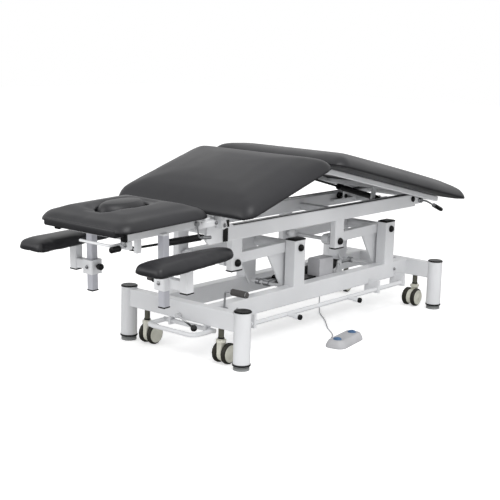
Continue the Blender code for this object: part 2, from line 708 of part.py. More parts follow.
# Control box on the inner face of the near rail
control = block(
    CONTROL_BOX_X,
    CONTROL_BOX_X + CONTROL_BOX_LENGTH,
    -RAIL_INNER + GAP,
    -ACTUATOR_TUBE_DIA / 2 - 0.016,
    RAIL_BOTTOM + 0.040,
    CONTROL_BOX_TOP,
    "X",
    0.008,
)
put("control_box", root, GREY, control)


def swing(place, about, angle):
    """Where an (x, z) place goes when turned about +Y round another place."""
    x = place[0] - about[0]
    z = place[1] - about[1]
    turned_x = x * math.cos(angle) + z * math.sin(angle)
    turned_z = z * math.cos(angle) - x * math.sin(angle)
    return (about[0] + turned_x, about[1] + turned_z)


# Upper frame: beams, cross members, hanging posts and hinge plates welded in one
beam_pieces = pair(block(BEAM_HEAD, BEAM_FOOT, -FRAME_HALF, -BEAM_INNER, BEAM_BOTTOM, BEAM_TOP, "X"))
hanger_bottom = FRAME_PIVOT_Z - HANGER_BELOW
for pivot_x in (HEAD_FRAME_PIVOT[0], FOOT_FRAME_PIVOT[0]):
    half = HANGER_LENGTH / 2
    hanger = block(
        pivot_x - half,
        pivot_x + half,
        -FRAME_HALF + WELD_STEP,
        -HANGER_INNER,
        hanger_bottom,
        BEAM_BOTTOM + 0.012,
        "Z",
        0.003,
    )
    beam_pieces += pair(hanger)
cross_low = BEAM_BOTTOM + 0.006
cross_high = BEAM_BOTTOM + 0.034
cross_span = BEAM_INNER + 0.01
spring_cross = LEG_SPRING_X + 0.030
for x in (BEAM_HEAD + 0.03, FOOT_FRAME_PIVOT[0] + 0.08, spring_cross + 0.015):
    beam_pieces.append(
        block(x - 0.015, x + 0.015, -cross_span, cross_span, cross_low, cross_high, "Y", 0.003),
    )
boss = HINGE_PIN_DIA / 2 + 0.005
plate_outline = [
    (BEAM_HEAD + 0.03, BEAM_BOTTOM + WELD_STEP),
    (BRACKET_HEAD + 0.015, BEAM_BOTTOM + WELD_STEP),
    (BRACKET_HEAD, BEAM_BOTTOM + 0.015),
    (BRACKET_HEAD, HEAD_PIVOT[1] + boss * 0.3),
    (HEAD_PIVOT[0] - boss * 0.5, HEAD_PIVOT[1] + boss),
    (HEAD_PIVOT[0] + boss, HEAD_PIVOT[1] + boss),
    (MID_PIVOT[0] + boss * 1.5, MID_PIVOT[1] + boss * 1.5),
    (BEAM_HEAD + 0.03, BEAM_TOP - WELD_STEP),
]
plate_in = FRAME_HALF - BRACKET_WIDTH
beam_pieces += pair(plate(plate_outline, plate_in, FRAME_HALF - WELD_STEP))
ledge_top = ROLLER[1] - ROLLER_DIA / 2 - 0.001
ledge = block(
    ROLLER[0] - 0.120, ROLLER[0] + 0.035, -BEAM_INNER - 0.004,
    -BEAM_INNER + 0.018, ledge_top - 0.008, ledge_top
)
beam_pieces += pair(ledge)
spring_half = SPRING_DIA / 2
ear_in = spring_half + 0.002
for y in (LEG_SPRING_Y - ear_in - 0.006, LEG_SPRING_Y + ear_in):
    ear = block(
        LEG_SPRING_X - 0.009, spring_cross + 0.01, y, y + 0.006, cross_low + 0.004, LEG_SPRING_Z + 0.009,
    )
    beam_pieces.append(ear)
spring_foot = (LEG_SPRING_X, LEG_SPRING_Z)
beam_pieces.append(
    cross_rod(spring_foot, LEG_SPRING_Y - ear_in - 0.003, LEG_SPRING_Y + ear_in + 0.003, SPRING_PIN_DIA)
)
spring_head = (HEAD_SPRING_X, HEAD_SPRING_Z)
beam_pieces.append(cross_rod(spring_head, -plate_in - 0.004, -HEAD_SPRING_Y + 0.010, SPRING_PIN_DIA))
beam_pieces.append(
    block(
        BEAM_FOOT - 0.01,
        RELEASE_X + 0.014,
        -FRAME_HALF + WELD_STEP,
        -BEAM_INNER - WELD_STEP,
        RELEASE_Z - 0.015,
        RELEASE_Z + 0.015,
        "Y",
    )
)
beam_cuts = [
    cross_rod(HEAD_FRAME_PIVOT, -0.2, 0.2, SHAFT_DIA + BORE_PLAY),
    cross_rod(FOOT_FRAME_PIVOT, -0.2, 0.2, SHAFT_DIA + BORE_PLAY),
    cross_rod(MID_PIVOT, -0.2, 0.2, HINGE_PIN_DIA + BORE_PLAY),
    cross_rod(HEAD_PIVOT, -0.2, 0.2, HINGE_PIN_DIA + BORE_PLAY),
]
put("upper_frame", frame_axis, WHITE, weld(beam_pieces, beam_cuts))


# Frames of the mid and leg sections
def side_tubes(x0, x1):
    return pair(block(x0, x1, -SIDE_TUBE_OUT, -SIDE_TUBE_IN, SIDE_TUBE_BOTTOM, SIDE_TUBE_TOP, "X", 0.003))


def cross_tube(x):
    half = SIDE_TUBE_WIDTH / 2
    return block(
        x - half, x + half, -SIDE_TUBE_Y, SIDE_TUBE_Y,
        SIDE_TUBE_BOTTOM + 0.001, SIDE_TUBE_TOP - 0.001, "Y", 0.003
    )


knee_eye = KNEE_PIN_DIA + 0.0084
knee_space = knee_eye / 2 + 0.006
lug_in = FRAME_HALF + 0.002
lug = block(
    MID_PIVOT[0] - 0.013, MID_PIVOT[0] + 0.013, -SIDE_TUBE_Y,
    -lug_in, MID_PIVOT[1] - 0.013, SIDE_TUBE_TOP - 0.002, "Y"
)
mid_pieces = side_tubes(MID_PIVOT[0] - 0.006, KNEE[0] - knee_space)
mid_pieces += [cross_tube(MID_PIVOT[0] + 0.06), cross_tube(KNEE[0] - 0.06)]
mid_pieces += pair(lug)
mid_pieces += pair(cross_rod(MID_PIVOT, -lug_in - 0.005, -plate_in + 0.003, HINGE_PIN_DIA))
mid_pieces += pair(cross_rod(KNEE, -SIDE_TUBE_Y + 0.0005, -SIDE_TUBE_IN - 0.0005, knee_eye))
mid_pieces += pair(
    block(
        KNEE[0] - knee_space - 0.01,
        KNEE[0],
        -SIDE_TUBE_Y + 0.0015,
        -SIDE_TUBE_IN - 0.0015,
        KNEE[1] - 0.006,
        KNEE[1] + 0.006,
    )
)
mid_pieces += pair(cross_rod(KNEE, -SIDE_TUBE_OUT, -SIDE_TUBE_IN - 0.004, KNEE_PIN_DIA))
put("mid_frame", mid_axis, WHITE, weld(mid_pieces))

leg_pieces = side_tubes(KNEE[0] + knee_space, LEG_PAD_FOOT - 0.03)
leg_pieces += [cross_tube(LEG_SPRING_PIN[0]), cross_tube(ROLLER[0]), cross_tube(LEG_PAD_FOOT - 0.06)]
leg_pieces += pair(cross_rod(KNEE, -SIDE_TUBE_OUT + 0.0005, -SIDE_TUBE_Y - 0.0005, knee_eye))
leg_pieces += pair(
    block(
        KNEE[0],
        KNEE[0] + knee_space + 0.01,
        -SIDE_TUBE_OUT + 0.0015,
        -SIDE_TUBE_Y - 0.0015,
        KNEE[1] - 0.006,
        KNEE[1] + 0.006,
    )
)
roller_eye = ROLLER_SHAFT_DIA / 2 + 0.005
hanger_outline = [
    (ROLLER[0] - 0.016, SIDE_TUBE_BOTTOM + 0.008),
    (ROLLER[0] - roller_eye, ROLLER[1] - roller_eye * 0.5),
    (ROLLER[0] - roller_eye * 0.5, ROLLER[1] - roller_eye),
    (ROLLER[0] + roller_eye * 0.5, ROLLER[1] - roller_eye),
    (ROLLER[0] + roller_eye, ROLLER[1] - roller_eye * 0.5),
    (ROLLER[0] + 0.016, SIDE_TUBE_BOTTOM + 0.008),
]
leg_pieces += pair(plate(hanger_outline, BEAM_INNER - 0.042, BEAM_INNER - 0.034))
for y in (LEG_SPRING_Y - ear_in - 0.006, LEG_SPRING_Y + ear_in):
    ear_low = LEG_SPRING_PIN[1] - 0.010
    leg_pieces.append(
        block(
            LEG_SPRING_PIN[0] - 0.010, LEG_SPRING_PIN[0] + 0.010,
            y, y + 0.006, ear_low, SIDE_TUBE_BOTTOM + 0.006
        )
    )
leg_pieces.append(
    cross_rod(LEG_SPRING_PIN, LEG_SPRING_Y - ear_in - 0.003, LEG_SPRING_Y + ear_in + 0.003, SPRING_PIN_DIA)
)
leg_cuts = pair(cross_rod(KNEE, -SIDE_TUBE_OUT - 0.02, -SIDE_TUBE_IN + 0.02, KNEE_PIN_DIA + BORE_PLAY))
leg_cuts.append(cross_rod(ROLLER, -BEAM_INNER, BEAM_INNER, ROLLER_SHAFT_DIA + BORE_PLAY))
put("leg_frame", leg_axis, WHITE, weld(leg_pieces, leg_cuts))

# Rollers: each runs on a ledge inside its beam, on a stub axle through the hanger of the leg frame
axle_head = BEAM_INNER - 0.042 - GAP
stub_radius = ROLLER_SHAFT_DIA / 2
roller_radius = ROLLER_DIA / 2
roller_profile = [
    (0.0, axle_head - 0.004),
    (stub_radius + 0.004, axle_head - 0.004),
    (stub_radius + 0.004, axle_head),
    (stub_radius, axle_head),
    (stub_radius, BEAM_INNER - 0.018),
    (roller_radius, BEAM_INNER - 0.018),
    (roller_radius, BEAM_INNER - 0.003),
    (0.0, BEAM_INNER - 0.003),
]
for side, sign in (("near", -1), ("far", 1)):
    roller_axis = Pivot(side + "_roller_axis", (ROLLER[0], 0.0, ROLLER[1]), leg_axis)
    put(side + "_roller", roller_axis, BLACK, turned(roller_profile, roller_axis.place, (0, sign, 0), 16))


# Gas springs: the cylinder turns on the frame, the rod on its section, and one slides in the other
def gas_spring(name, foot, section_pin, rest_pin, y, section, section_turn, cylinder_part):
    rise = math.atan2(rest_pin[1] - foot[1], foot[0] - rest_pin[0])
    reach = math.hypot(rest_pin[1] - foot[1], foot[0] - rest_pin[0])
    length = reach * cylinder_part
    rod_length = reach - length + 0.045
    cylinder_axis = Pivot(name + "_cylinder_axis", (foot[0], y, foot[1]), frame_axis, rise)
    rod_pivot = Pivot(name + "_rod_axis", (section_pin[0], y, section_pin[1]), section, rise - section_turn)
    front = foot[0] - length
    eye_half = SPRING_DIA / 2 - 0.004
    cylinder = weld(
        [
            rod((front, y, foot[1]), (foot[0] - 0.018, y, foot[1]), SPRING_DIA),
            block(foot[0] - 0.03, foot[0], y - eye_half, y + eye_half, foot[1] - 0.006, foot[1] + 0.006),
            cross_rod(foot, y - eye_half, y + eye_half, SPRING_PIN_DIA + 0.009),
        ],
        [
            rod((front - 0.01, y, foot[1]), (foot[0] - 0.045, y, foot[1]), SPRING_BORE),
            cross_rod(foot, y - 0.03, y + 0.03, SPRING_PIN_DIA + BORE_PLAY),
        ],
    )
    put(name + "_cylinder", cylinder_axis, BLACK, cylinder)
    x, z = section_pin
    ram = weld(
        [
            rod((x, y, z), (x + rod_length, y, z), SPRING_ROD_DIA),
            cross_rod(section_pin, y - eye_half, y + eye_half, SPRING_PIN_DIA + 0.009),
        ],
        [cross_rod(section_pin, y - 0.03, y + 0.03, SPRING_PIN_DIA + BORE_PLAY)],
    )
    put(name + "_rod", rod_pivot, BLACK, ram)


knee_rest = swing(KNEE, MID_PIVOT, -MID_TILT)
leg_pin_level = (knee_rest[0] + LEG_SPRING_REACH, knee_rest[1] - LEG_SPRING_DROP)
leg_pin_rest = swing(leg_pin_level, knee_rest, LEG_TILT)
gas_spring("leg_spring", spring_foot, LEG_SPRING_PIN, leg_pin_rest, LEG_SPRING_Y, leg_axis, LEG_TILT, 0.56)
head_pin_rest = swing(HEAD_SPRING_PIN, HEAD_PIVOT, -HEAD_TILT)
gas_spring(
    "head_spring", spring_head, HEAD_SPRING_PIN, head_pin_rest, -HEAD_SPRING_Y, head_axis, -HEAD_TILT, 0.56
)


# Cushions
def rounded_outline(x0, x1, y0, y1, radius, steps=7):
    """Points round a rectangle with rounded corners, anticlockwise."""
    points = []
    for cx, cy, start in (
        (x1 - radius, y1 - radius, 0.0),
        (x0 + radius, y1 - radius, 0.25),
        (x0 + radius, y0 + radius, 0.5),
        (x1 - radius, y0 + radius, 0.75),
    ):
        for step in range(steps + 1):
            angle = math.tau * (start + 0.25 * step / steps)
            points.append((cx + radius * math.cos(angle), cy + radius * math.sin(angle)))
    return points


def drawn_in(outline, inset):
    """The outline moved inwards by the same distance everywhere."""
    count = len(outline)
    moved = []
    for number in range(count):
        before = Vector(outline[number - 1])
        here = Vector(outline[number])
        after = Vector(outline[(number + 1) % count])
        run = (here - before).normalized() + (after - here).normalized()
        run.normalize()
        moved.append(here + inset * Vector((-run.y, run.x)))
    return moved


def cushion(outline, bottom, thick, crown, roll, taper=0.0, run=1.0):
    """A padded slab: square at the bottom edge, its top rolled down to the edge, crowned,
    and thinner by a share of the thickness over a run at both ends along X."""
    shoulder = thick - crown
    steps = (
        (0.04 * roll, 0.0),
        (0.0, 0.05),
        (0.0, 0.24),
        (0.09 * roll, 0.48),
        (0.28 * roll, 0.72),
        (0.58 * roll, 0.90),
        (roll, 1.0),
    )
    rings = []
    for inset, part in steps:
        rings.append([(p.x, p.y, bottom + shoulder * part) for p in drawn_in(outline, inset)])
    middle = Vector((0.0, 0.0))
    for point in outline:
        middle += Vector(point) / len(outline)
    edge = drawn_in(outline, steps[-1][0])
    for scale, part in ((0.82, 0.45), (0.55, 0.80), (0.25, 0.96)):
        rings.append([(*(middle + (p - middle) * scale), bottom + shoulder + crown * part) for p in edge])
    head_end = min(point[0] for point in outline)
    foot_end = max(point[0] for point in outline)
    bm = bmesh.new()
    loops = []
    for ring in rings:
        loop = []
        for x, y, z in ring:
            near_end = max(0.0, 1.0 - min(x - head_end, foot_end - x) / run)
            loop.append(bm.verts.new((x, y, bottom + (z - bottom) * (1.0 - taper * near_end ** 2))))
        loops.append(loop)
    count = len(outline)
    for low, high in zip(loops, loops[1:]):
        for number in range(count):
            after = (number + 1) % count
            bm.faces.new((low[number], low[after], high[after], high[number]))
    under = bm.verts.new((*middle, bottom))
    top = bm.verts.new((*middle, bottom + thick))
    for number in range(count):
        after = (number + 1) % count
        bm.faces.new((loops[0][after], loops[0][number], under))
        bm.faces.new((loops[-1][number], loops[-1][after], top))
    return bm


def oval_outline(x, length, width, count=28):
    points = []
    for number in range(count):
        angle = math.tau * number / count
        points.append((x + length / 2 * math.cos(angle), width / 2 * math.sin(angle)))
    return points


def oval_bar(x, length, width, z0, z1, count=28):
    bm = bmesh.new()
    face = bm.faces.new([bm.verts.new((px, py, z0)) for px, py in oval_outline(x, length, width, count)])
    grown = bmesh.ops.extrude_face_region(bm, geom=[face])
    moved = [item for item in grown["geom"] if isinstance(item, bmesh.types.BMVert)]
    bmesh.ops.translate(bm, verts=moved, vec=(0.0, 0.0, z1 - z0))
    bmesh.ops.recalc_face_normals(bm, faces=bm.faces)
    return bm


mid_outline = rounded_outline(
    MID_PAD_HEAD, KNEE[0] - PAD_JOINT / 2, -PAD_HALF_WIDTH, PAD_HALF_WIDTH, PAD_CORNER
)
mid_cushion = cushion(
    mid_outline, PAD_BOTTOM, PAD_THICK, PAD_CROWN, PAD_ROLL, PAD_TAPER, PAD_TAPER_RUN,
)
put("mid_pad", mid_axis, CHARCOAL, mid_cushion)
leg_outline = rounded_outline(
    KNEE[0] + PAD_JOINT / 2, LEG_PAD_FOOT, -PAD_HALF_WIDTH, PAD_HALF_WIDTH, PAD_CORNER
)
leg_cushion = cushion(
    leg_outline, PAD_BOTTOM, PAD_THICK, PAD_CROWN, PAD_ROLL, PAD_TAPER, PAD_TAPER_RUN,
)
put("leg_pad", leg_axis, CHARCOAL, leg_cushion)
head_outline = rounded_outline(
    HEAD_PAD_HEAD, HEAD_PAD_FOOT, -HEAD_PAD_HALF_WIDTH, HEAD_PAD_HALF_WIDTH, PAD_CORNER
)
head_slab = cushion(
    head_outline, HEAD_PAD_BOTTOM, HEAD_PAD_THICK, PAD_CROWN, PAD_ROLL, PAD_TAPER, HEAD_TAPER_RUN,
)
head_pad_top = HEAD_PAD_BOTTOM + HEAD_PAD_THICK
face_hole = oval_bar(FACE_X, FACE_LENGTH, FACE_WIDTH, HEAD_PAD_BOTTOM - 0.02, head_pad_top + 0.02)
head_cushion = weld([head_slab], [face_hole])
put("head_pad", head_axis, CHARCOAL, head_cushion)
pillow_axis = Pivot("face_pillow_axis", (FACE_X, 0.0, HEAD_PAD_BOTTOM), head_axis)
pillow_outline = oval_outline(FACE_X, FACE_LENGTH - 2 * BORE_PLAY, FACE_WIDTH - 2 * BORE_PLAY)
pillow_bottom = HEAD_PAD_BOTTOM + 0.004
pillow_thick = head_pad_top + FACE_PROUD - pillow_bottom
pillow = cushion(pillow_outline, pillow_bottom, pillow_thick, FACE_CROWN, FACE_ROLL)
put("face_pillow", pillow_axis, CHARCOAL, pillow)

# Head section frame with the two armrest posts
head_cross_top = HEAD_PAD_BOTTOM - GAP
tube_foot = HEAD_PIVOT[0] + 0.011
head_pieces = pair(
    block(
        HEAD_TUBE_HEAD, HEAD_TUBE_FOOT, -HEAD_TUBE_OUT,
        -HEAD_TUBE_IN, HEAD_TUBE_BOTTOM, HEAD_TUBE_TOP, "X", 0.003
    )
)
head_pieces += pair(
    block(
        HEAD_TUBE_FOOT - 0.03,
        tube_foot,
        -HEAD_TUBE_OUT + WELD_STEP,
        -HEAD_TUBE_IN - WELD_STEP,
        HEAD_PIVOT[1] - 0.018,
        HEAD_PIVOT[1] + 0.004,
        "X",
        0.003,
    )
)
head_pieces.append(
    block(
        HEAD_TUBE_HEAD + 0.004,
        HEAD_TUBE_HEAD + 0.026,
        -HEAD_TUBE_Y,
        HEAD_TUBE_Y,
        HEAD_TUBE_BOTTOM + 0.001,
        HEAD_TUBE_TOP - 0.001,
        "Y",
        0.003,
    )
)
for x in (HEAD_TUBE_HEAD + 0.02, HEAD_PAD_FOOT - 0.075):
    half = HEAD_TUBE_Y + 0.006
    head_pieces.append(block(x - 0.015, x + 0.015, -half, half, HEAD_TUBE_TOP - 0.006, head_cross_top))
head_pieces += pair(cross_rod(HEAD_PIVOT, -HEAD_TUBE_Y, -plate_in + 0.003, HINGE_PIN_DIA))
post_half = ARMREST_POST / 2
head_pieces += pair(
    block(
        ARMREST_X - post_half,
        ARMREST_X + post_half,
        -ARMREST_Y - post_half,
        -ARMREST_Y + post_half,
        ARMREST_POST_BOTTOM,
        HEAD_TUBE_BOTTOM + 0.006,
        "Z",
        0.003,
    )
)
pin_x, pin_z = HEAD_SPRING_PIN
head_pieces.append(
    block(
        pin_x - 0.011, pin_x + 0.011, -HEAD_TUBE_IN - 0.006,
        -HEAD_TUBE_IN + 0.007, pin_z - 0.011, HEAD_TUBE_TOP - 0.006
    )
)
head_pieces.append(
    cross_rod(HEAD_SPRING_PIN, -HEAD_TUBE_IN - 0.002, -HEAD_SPRING_Y + 0.010, SPRING_PIN_DIA)
)
put("head_frame", head_axis, WHITE, weld(head_pieces))

# Roll holder: a bent rod in a block under the near head tube, held by a clamp screw with a knob
block_top = HEAD_TUBE_BOTTOM - GAP
block_low = block_top - ROLL_BLOCK_HEIGHT
block_head = HEAD_TUBE_HEAD - 0.003
block_foot = block_head + ROLL_BLOCK_LENGTH
block_in = -HEAD_TUBE_OUT + ROLL_BLOCK_WIDTH
rod_y = block_in - 0.003
rod_z = block_top - ROLL_ROD_DIA
screw_y = block_in - 0.0125
screw_z = block_low + 0.006
screw_tip = block_head - ROLL_SCREW_LENGTH
holder_pieces = [
    block(block_head, block_foot, -HEAD_TUBE_OUT, block_in, block_low, block_top, "Y", 0.003),
    bent(
        [
            (block_foot - 0.006, rod_y, rod_z),
            (block_head - ROLL_REACH, rod_y, rod_z),
            (block_head - ROLL_REACH, rod_y + ROLL_ROD_LENGTH, rod_z),
        ],
        ROLL_ROD_DIA,
        0.016,
    ),
    rod((block_foot - 0.006, screw_y, screw_z), (screw_tip - 0.004, screw_y, screw_z), ROLL_SCREW_DIA),
    rod((screw_tip, screw_y, screw_z), (screw_tip - ROLL_KNOB_LENGTH, screw_y, screw_z), ROLL_KNOB_DIA, 16),
]
put("roll_holder", head_axis, WHITE, weld(holder_pieces))

# Head release lever on the outside of the near head tube
lever_y = -HEAD_TUBE_OUT - GAP - 0.005
lever_x = HEAD_PAD_FOOT - 0.055
lever_z = (HEAD_TUBE_TOP + HEAD_TUBE_BOTTOM) / 2
head_lever_axis = Pivot("head_release_axis", (lever_x, lever_y, lever_z), head_axis)
head_lever = weld(
    [
        cross_rod((lever_x, lever_z), lever_y - 0.005, lever_y + 0.005, 0.018),
        bent(
            [
                (lever_x, lever_y, lever_z),
                (lever_x + 0.010, lever_y, lever_z - 0.052),
                (lever_x + 0.065, lever_y, lever_z - 0.058),
            ],
            0.006,
            0.012,
            2,
        ),
        rod(
            (lever_x + 0.026, lever_y, lever_z - 0.0538),
            (lever_x + 0.070, lever_y, lever_z - 0.0585), 0.013, 16,
        ),
    ]
)
put("head_release_lever", head_lever_axis, BLACK, head_lever)

# Leg release lever on the outside of the bracket at the foot end
release_y = -FRAME_HALF + WELD_STEP - GAP - 0.007
release_axis = Pivot("leg_release_axis", (RELEASE_X, release_y, RELEASE_Z), frame_axis)
release_end = (RELEASE_X + RELEASE_REACH, release_y, RELEASE_Z - RELEASE_DROP)
release_bend = (RELEASE_X + RELEASE_REACH * 0.25, release_y, RELEASE_Z - RELEASE_DROP * 0.1)
grip_start = Vector(release_bend).lerp(Vector(release_end), 0.48)
release = weld(
    [
        cross_rod((RELEASE_X, RELEASE_Z), release_y - 0.007, release_y + 0.007, 0.022),
        bent([(RELEASE_X, release_y, RELEASE_Z), release_bend, release_end], 0.009, 0.02, 2),
        rod(grip_start, release_end, 0.018),
    ]
)
put("leg_release_lever", release_axis, STEEL, release)


# Armrests: a sleeve on the post, an arm outwards, a pad post, a pad and a clamp knob
def armrest(side, sign):
    axis = Pivot(side + "_armrest_axis", (ARMREST_X, sign * ARMREST_Y, SLEEVE_BOTTOM), head_axis)
    sleeve_top = SLEEVE_BOTTOM + SLEEVE_HEIGHT
    inner = ARMREST_Y - SLEEVE_HALF
    outer = ARMREST_Y + SLEEVE_HALF
    half = ARM_PAD_POST / 2
    clear = ARMREST_POST / 2 + SLEEVE_PLAY
    pieces = [
        block(
            ARMREST_X - SLEEVE_HALF, ARMREST_X + SLEEVE_HALF,
            -outer, -inner, SLEEVE_BOTTOM, sleeve_top, "Z", 0.003
        ),
        block(
            ARM_PAD_POST_X - 0.013,
            ARM_PAD_POST_X + 0.013,
            -ARM_PAD_POST_Y,
            -outer + 0.005,
            SLEEVE_BOTTOM + 0.008,
            SLEEVE_BOTTOM + 0.044,
            "Y",
            0.003,
        ),
        block(
            ARM_PAD_POST_X - half,
            ARM_PAD_POST_X + half,
            -ARM_PAD_POST_Y - half,
            -ARM_PAD_POST_Y + half,
            SLEEVE_BOTTOM + 0.004,
            ARM_PAD_BOTTOM - GAP,
            "Z",
            0.003,
        ),
    ]
    hole = block(
        ARMREST_X - clear,
        ARMREST_X + clear,
        -ARMREST_Y - clear,
        -ARMREST_Y + clear,
        SLEEVE_BOTTOM - 0.02,
        sleeve_top + 0.02,
    )
    carrier = weld(pieces, [hole])
    knob_z = SLEEVE_BOTTOM + SLEEVE_HEIGHT * 0.55
    knob_face = -inner + GAP
    knob = turned(
        [
            (0.0, 0.0), (0.006, 0.0), (0.006, 0.006), (0.011, 0.008),
            (0.012, 0.022), (0.009, 0.026), (0.0, 0.026),
        ],
        (ARMREST_X, knob_face, knob_z),
        (0, 1, 0),
        14,
    )
    pad_mid = (ARM_PAD_INNER + ARM_PAD_OUTER) / 2
    pad_half = (ARM_PAD_OUTER - ARM_PAD_INNER) / 2
    length = ARM_PAD_FOOT - ARM_PAD_HEAD
    outline = []
    for step in range(9):
        angle = math.pi * (0.5 - step / 8)
        outline.append(
            (ARM_PAD_FOOT - 0.075 + 0.075 * math.cos(angle), -pad_mid - pad_half * 0.72 * math.sin(angle)),
        )
    corner = 0.024
    for step in range(7):
        angle = math.pi * 0.5 * step / 6
        outline.append(
            (
                ARM_PAD_HEAD + corner - corner * math.sin(angle),
                -pad_mid + pad_half - corner + corner * math.cos(angle),
            )
        )
    for step in range(7):
        angle = math.pi * 0.5 * step / 6
        outline.append(
            (
                ARM_PAD_HEAD + corner - corner * math.cos(angle),
                -pad_mid - pad_half + corner - corner * math.sin(angle),
            )
        )
    fuller = [(ARM_PAD_HEAD + length * 0.45, -pad_mid - pad_half * 0.98)]
    other = [(ARM_PAD_HEAD + length * 0.45, -pad_mid + pad_half * 0.98)]
    outline = outline[:9] + other + outline[9:] + fuller
    pad = cushion(outline, ARM_PAD_BOTTOM, ARM_PAD_THICK, ARM_PAD_CROWN, ARM_PAD_ROLL)
    if sign > 0:
        carrier = mirrored(carrier)
        knob = mirrored(knob)
        pad = mirrored(pad)
    put(side + "_armrest_carrier", axis, WHITE, carrier)
    put(side + "_armrest_pad", axis, CHARCOAL, pad)
    knob_axis = Pivot(side + "_clamp_axis", (ARMREST_X, sign * (inner - GAP), knob_z), axis)
    put(side + "_clamp_knob", knob_axis, BLACK, knob)


armrest("near", -1)
armrest("far", 1)


# Castors: stem and housing swivel under the crossbar, twin wheels turn on one axle
def castor(corner, side_x, side_y):
    x = side_x * COLUMN_X
    y = side_y * CASTOR_Y
    axle_x = x - side_x * CASTOR_TRAIL
    wheel_radius = WHEEL_DIA / 2
    axle = (axle_x, wheel_radius)
    wheel_in = WHEEL_SPACING / 2 - WHEEL_WIDTH / 2
    wheel_out = WHEEL_SPACING / 2 + WHEEL_WIDTH / 2
    half = wheel_in - 0.0015
    neck_top = WHEEL_DIA + 0.008
    swivel = Pivot("castor_" + corner + "_swivel", (x, y, RAIL_BOTTOM), root)
    wheel_axis = Pivot("castor_" + corner + "_axle", (axle_x, y, wheel_radius), swivel)
    housing = weld(
        [
            rod((x, y, neck_top - 0.006), (x, y, RAIL_BOTTOM - GAP), CASTOR_STEM_DIA),
            rod((x, y, neck_top - 0.004), (x, y, neck_top + 0.006), CASTOR_STEM_DIA + 0.018),
            block(x - 0.014, x + 0.014, y - half, y + half, wheel_radius, neck_top, "Z", 0.003),
            cross_rod(axle, y - half + 0.001, y + half - 0.001, WHEEL_DIA * 0.82, 16),
        ],
        [cross_rod(axle, y - 0.05, y + 0.05, AXLE_DIA + BORE_PLAY)],
    )
    put("castor_housing_" + corner, swivel, CREAM, housing)
    axle_radius = AXLE_DIA / 2
    wheel_half = [
        (axle_radius, 0.0),
        (axle_radius, wheel_in),
        (wheel_radius - 0.004, wheel_in),
        (wheel_radius, wheel_in + 0.004),
        (wheel_radius, wheel_out - 0.005),
        (wheel_radius - 0.005, wheel_out),
        (wheel_radius - 0.012, wheel_out),
        (0.0, wheel_out - 0.0015),
    ]
    profile = [(r, -d) for r, d in reversed(wheel_half)] + wheel_half[1:]
    put("castor_wheels_" + corner, wheel_axis, TYRE, turned(profile, wheel_axis.place, (0, 1, 0), 16))


for corner, side_x, side_y in CORNERS:
    castor(corner, side_x, side_y)

# Foot bar along the near rail, with two pegs
bar_axis = Pivot("foot_bar_axis", (0.0, -BAR_Y, BAR_Z), root)
bar_pieces = [rod((BAR_HEAD, -BAR_Y, BAR_Z), (BAR_FOOT, -BAR_Y, BAR_Z), BAR_DIA)]
for x in (PEG_HEAD_X, PEG_FOOT_X):
    bar_pieces.append(rod((x, -BAR_Y, BAR_Z), (x, -PEG_OUT + 0.01, BAR_Z), BAR_DIA * 0.8, 16))
    bar_pieces.append(rod((x, -PEG_OUT + 0.035, BAR_Z), (x, -PEG_OUT, BAR_Z), BAR_DIA * 1.1))
put("side_foot_bar", bar_axis, WHITE, weld(bar_pieces))

# Pedal loop under the head crossbar
loop_axis = Pivot("pedal_loop_axis", (-COLUMN_X, 0.0, LOOP_Z), root)
loop = weld(
    [
        rod(
            (-COLUMN_X, LOOP_NEAR - LOOP_DIA / 2, LOOP_Z),
            (-COLUMN_X, LOOP_FAR + LOOP_DIA / 2, LOOP_Z), LOOP_DIA,
        ),
        bent(
            [
                (-COLUMN_X, LOOP_NEAR, LOOP_Z),
                (LOOP_FRONT, LOOP_NEAR, LOOP_Z),
                (LOOP_FRONT, LOOP_FAR, LOOP_Z),
                (-COLUMN_X, LOOP_FAR, LOOP_Z),
            ],
            LOOP_DIA * 0.98,
            0.035,
        ),
    ]
)
put("pedal_loop", loop_axis, WHITE, loop)

# Ball pedal on the outer face of the head crossbar
pedal_x = -COLUMN_X - CROSSBAR_WIDTH / 2 - GAP
pedal_z = RAIL_BOTTOM + 0.016
pedal_axis = Pivot("ball_pedal_axis", (pedal_x, 0.0, pedal_z), root)
pedal = weld(
    [
        rod((pedal_x, 0.0, pedal_z), (pedal_x - 0.018, 0.0, pedal_z), 0.020),
        rod((pedal_x - 0.011, 0.0, pedal_z), PEDAL_BALL, 0.008, 14),
        ball(PEDAL_BALL, PEDAL_BALL_DIA),
    ]
)
put("ball_pedal", pedal_axis, BLACK, pedal)

# Hand lever on the near rail
hand_y = -FRAME_HALF - GAP - 0.011
hand_z = RAIL_TOP - 0.018
hand_axis = Pivot("hand_lever_axis", (HAND_LEVER_X, hand_y, hand_z), root)
grip_end = (HAND_LEVER_X, -GRIP_OUT, HAND_LEVER_RISE)
grip_in = (HAND_LEVER_X, -GRIP_OUT + 0.072, HAND_LEVER_RISE)
hand_lever = weld(
    [
        rod((HAND_LEVER_X - 0.012, hand_y, hand_z), (HAND_LEVER_X + 0.012, hand_y, hand_z), 0.022),
        bent(
            [
                (HAND_LEVER_X, hand_y, hand_z),
                (HAND_LEVER_X, hand_y - 0.002, HAND_LEVER_RISE - 0.004), grip_in, grip_end,
            ],
            0.008,
            0.012,
            2,
        ),
        rod(grip_in, grip_end, GRIP_DIA),
    ]
)
put("hand_lever", hand_axis, RUBBER, hand_lever)

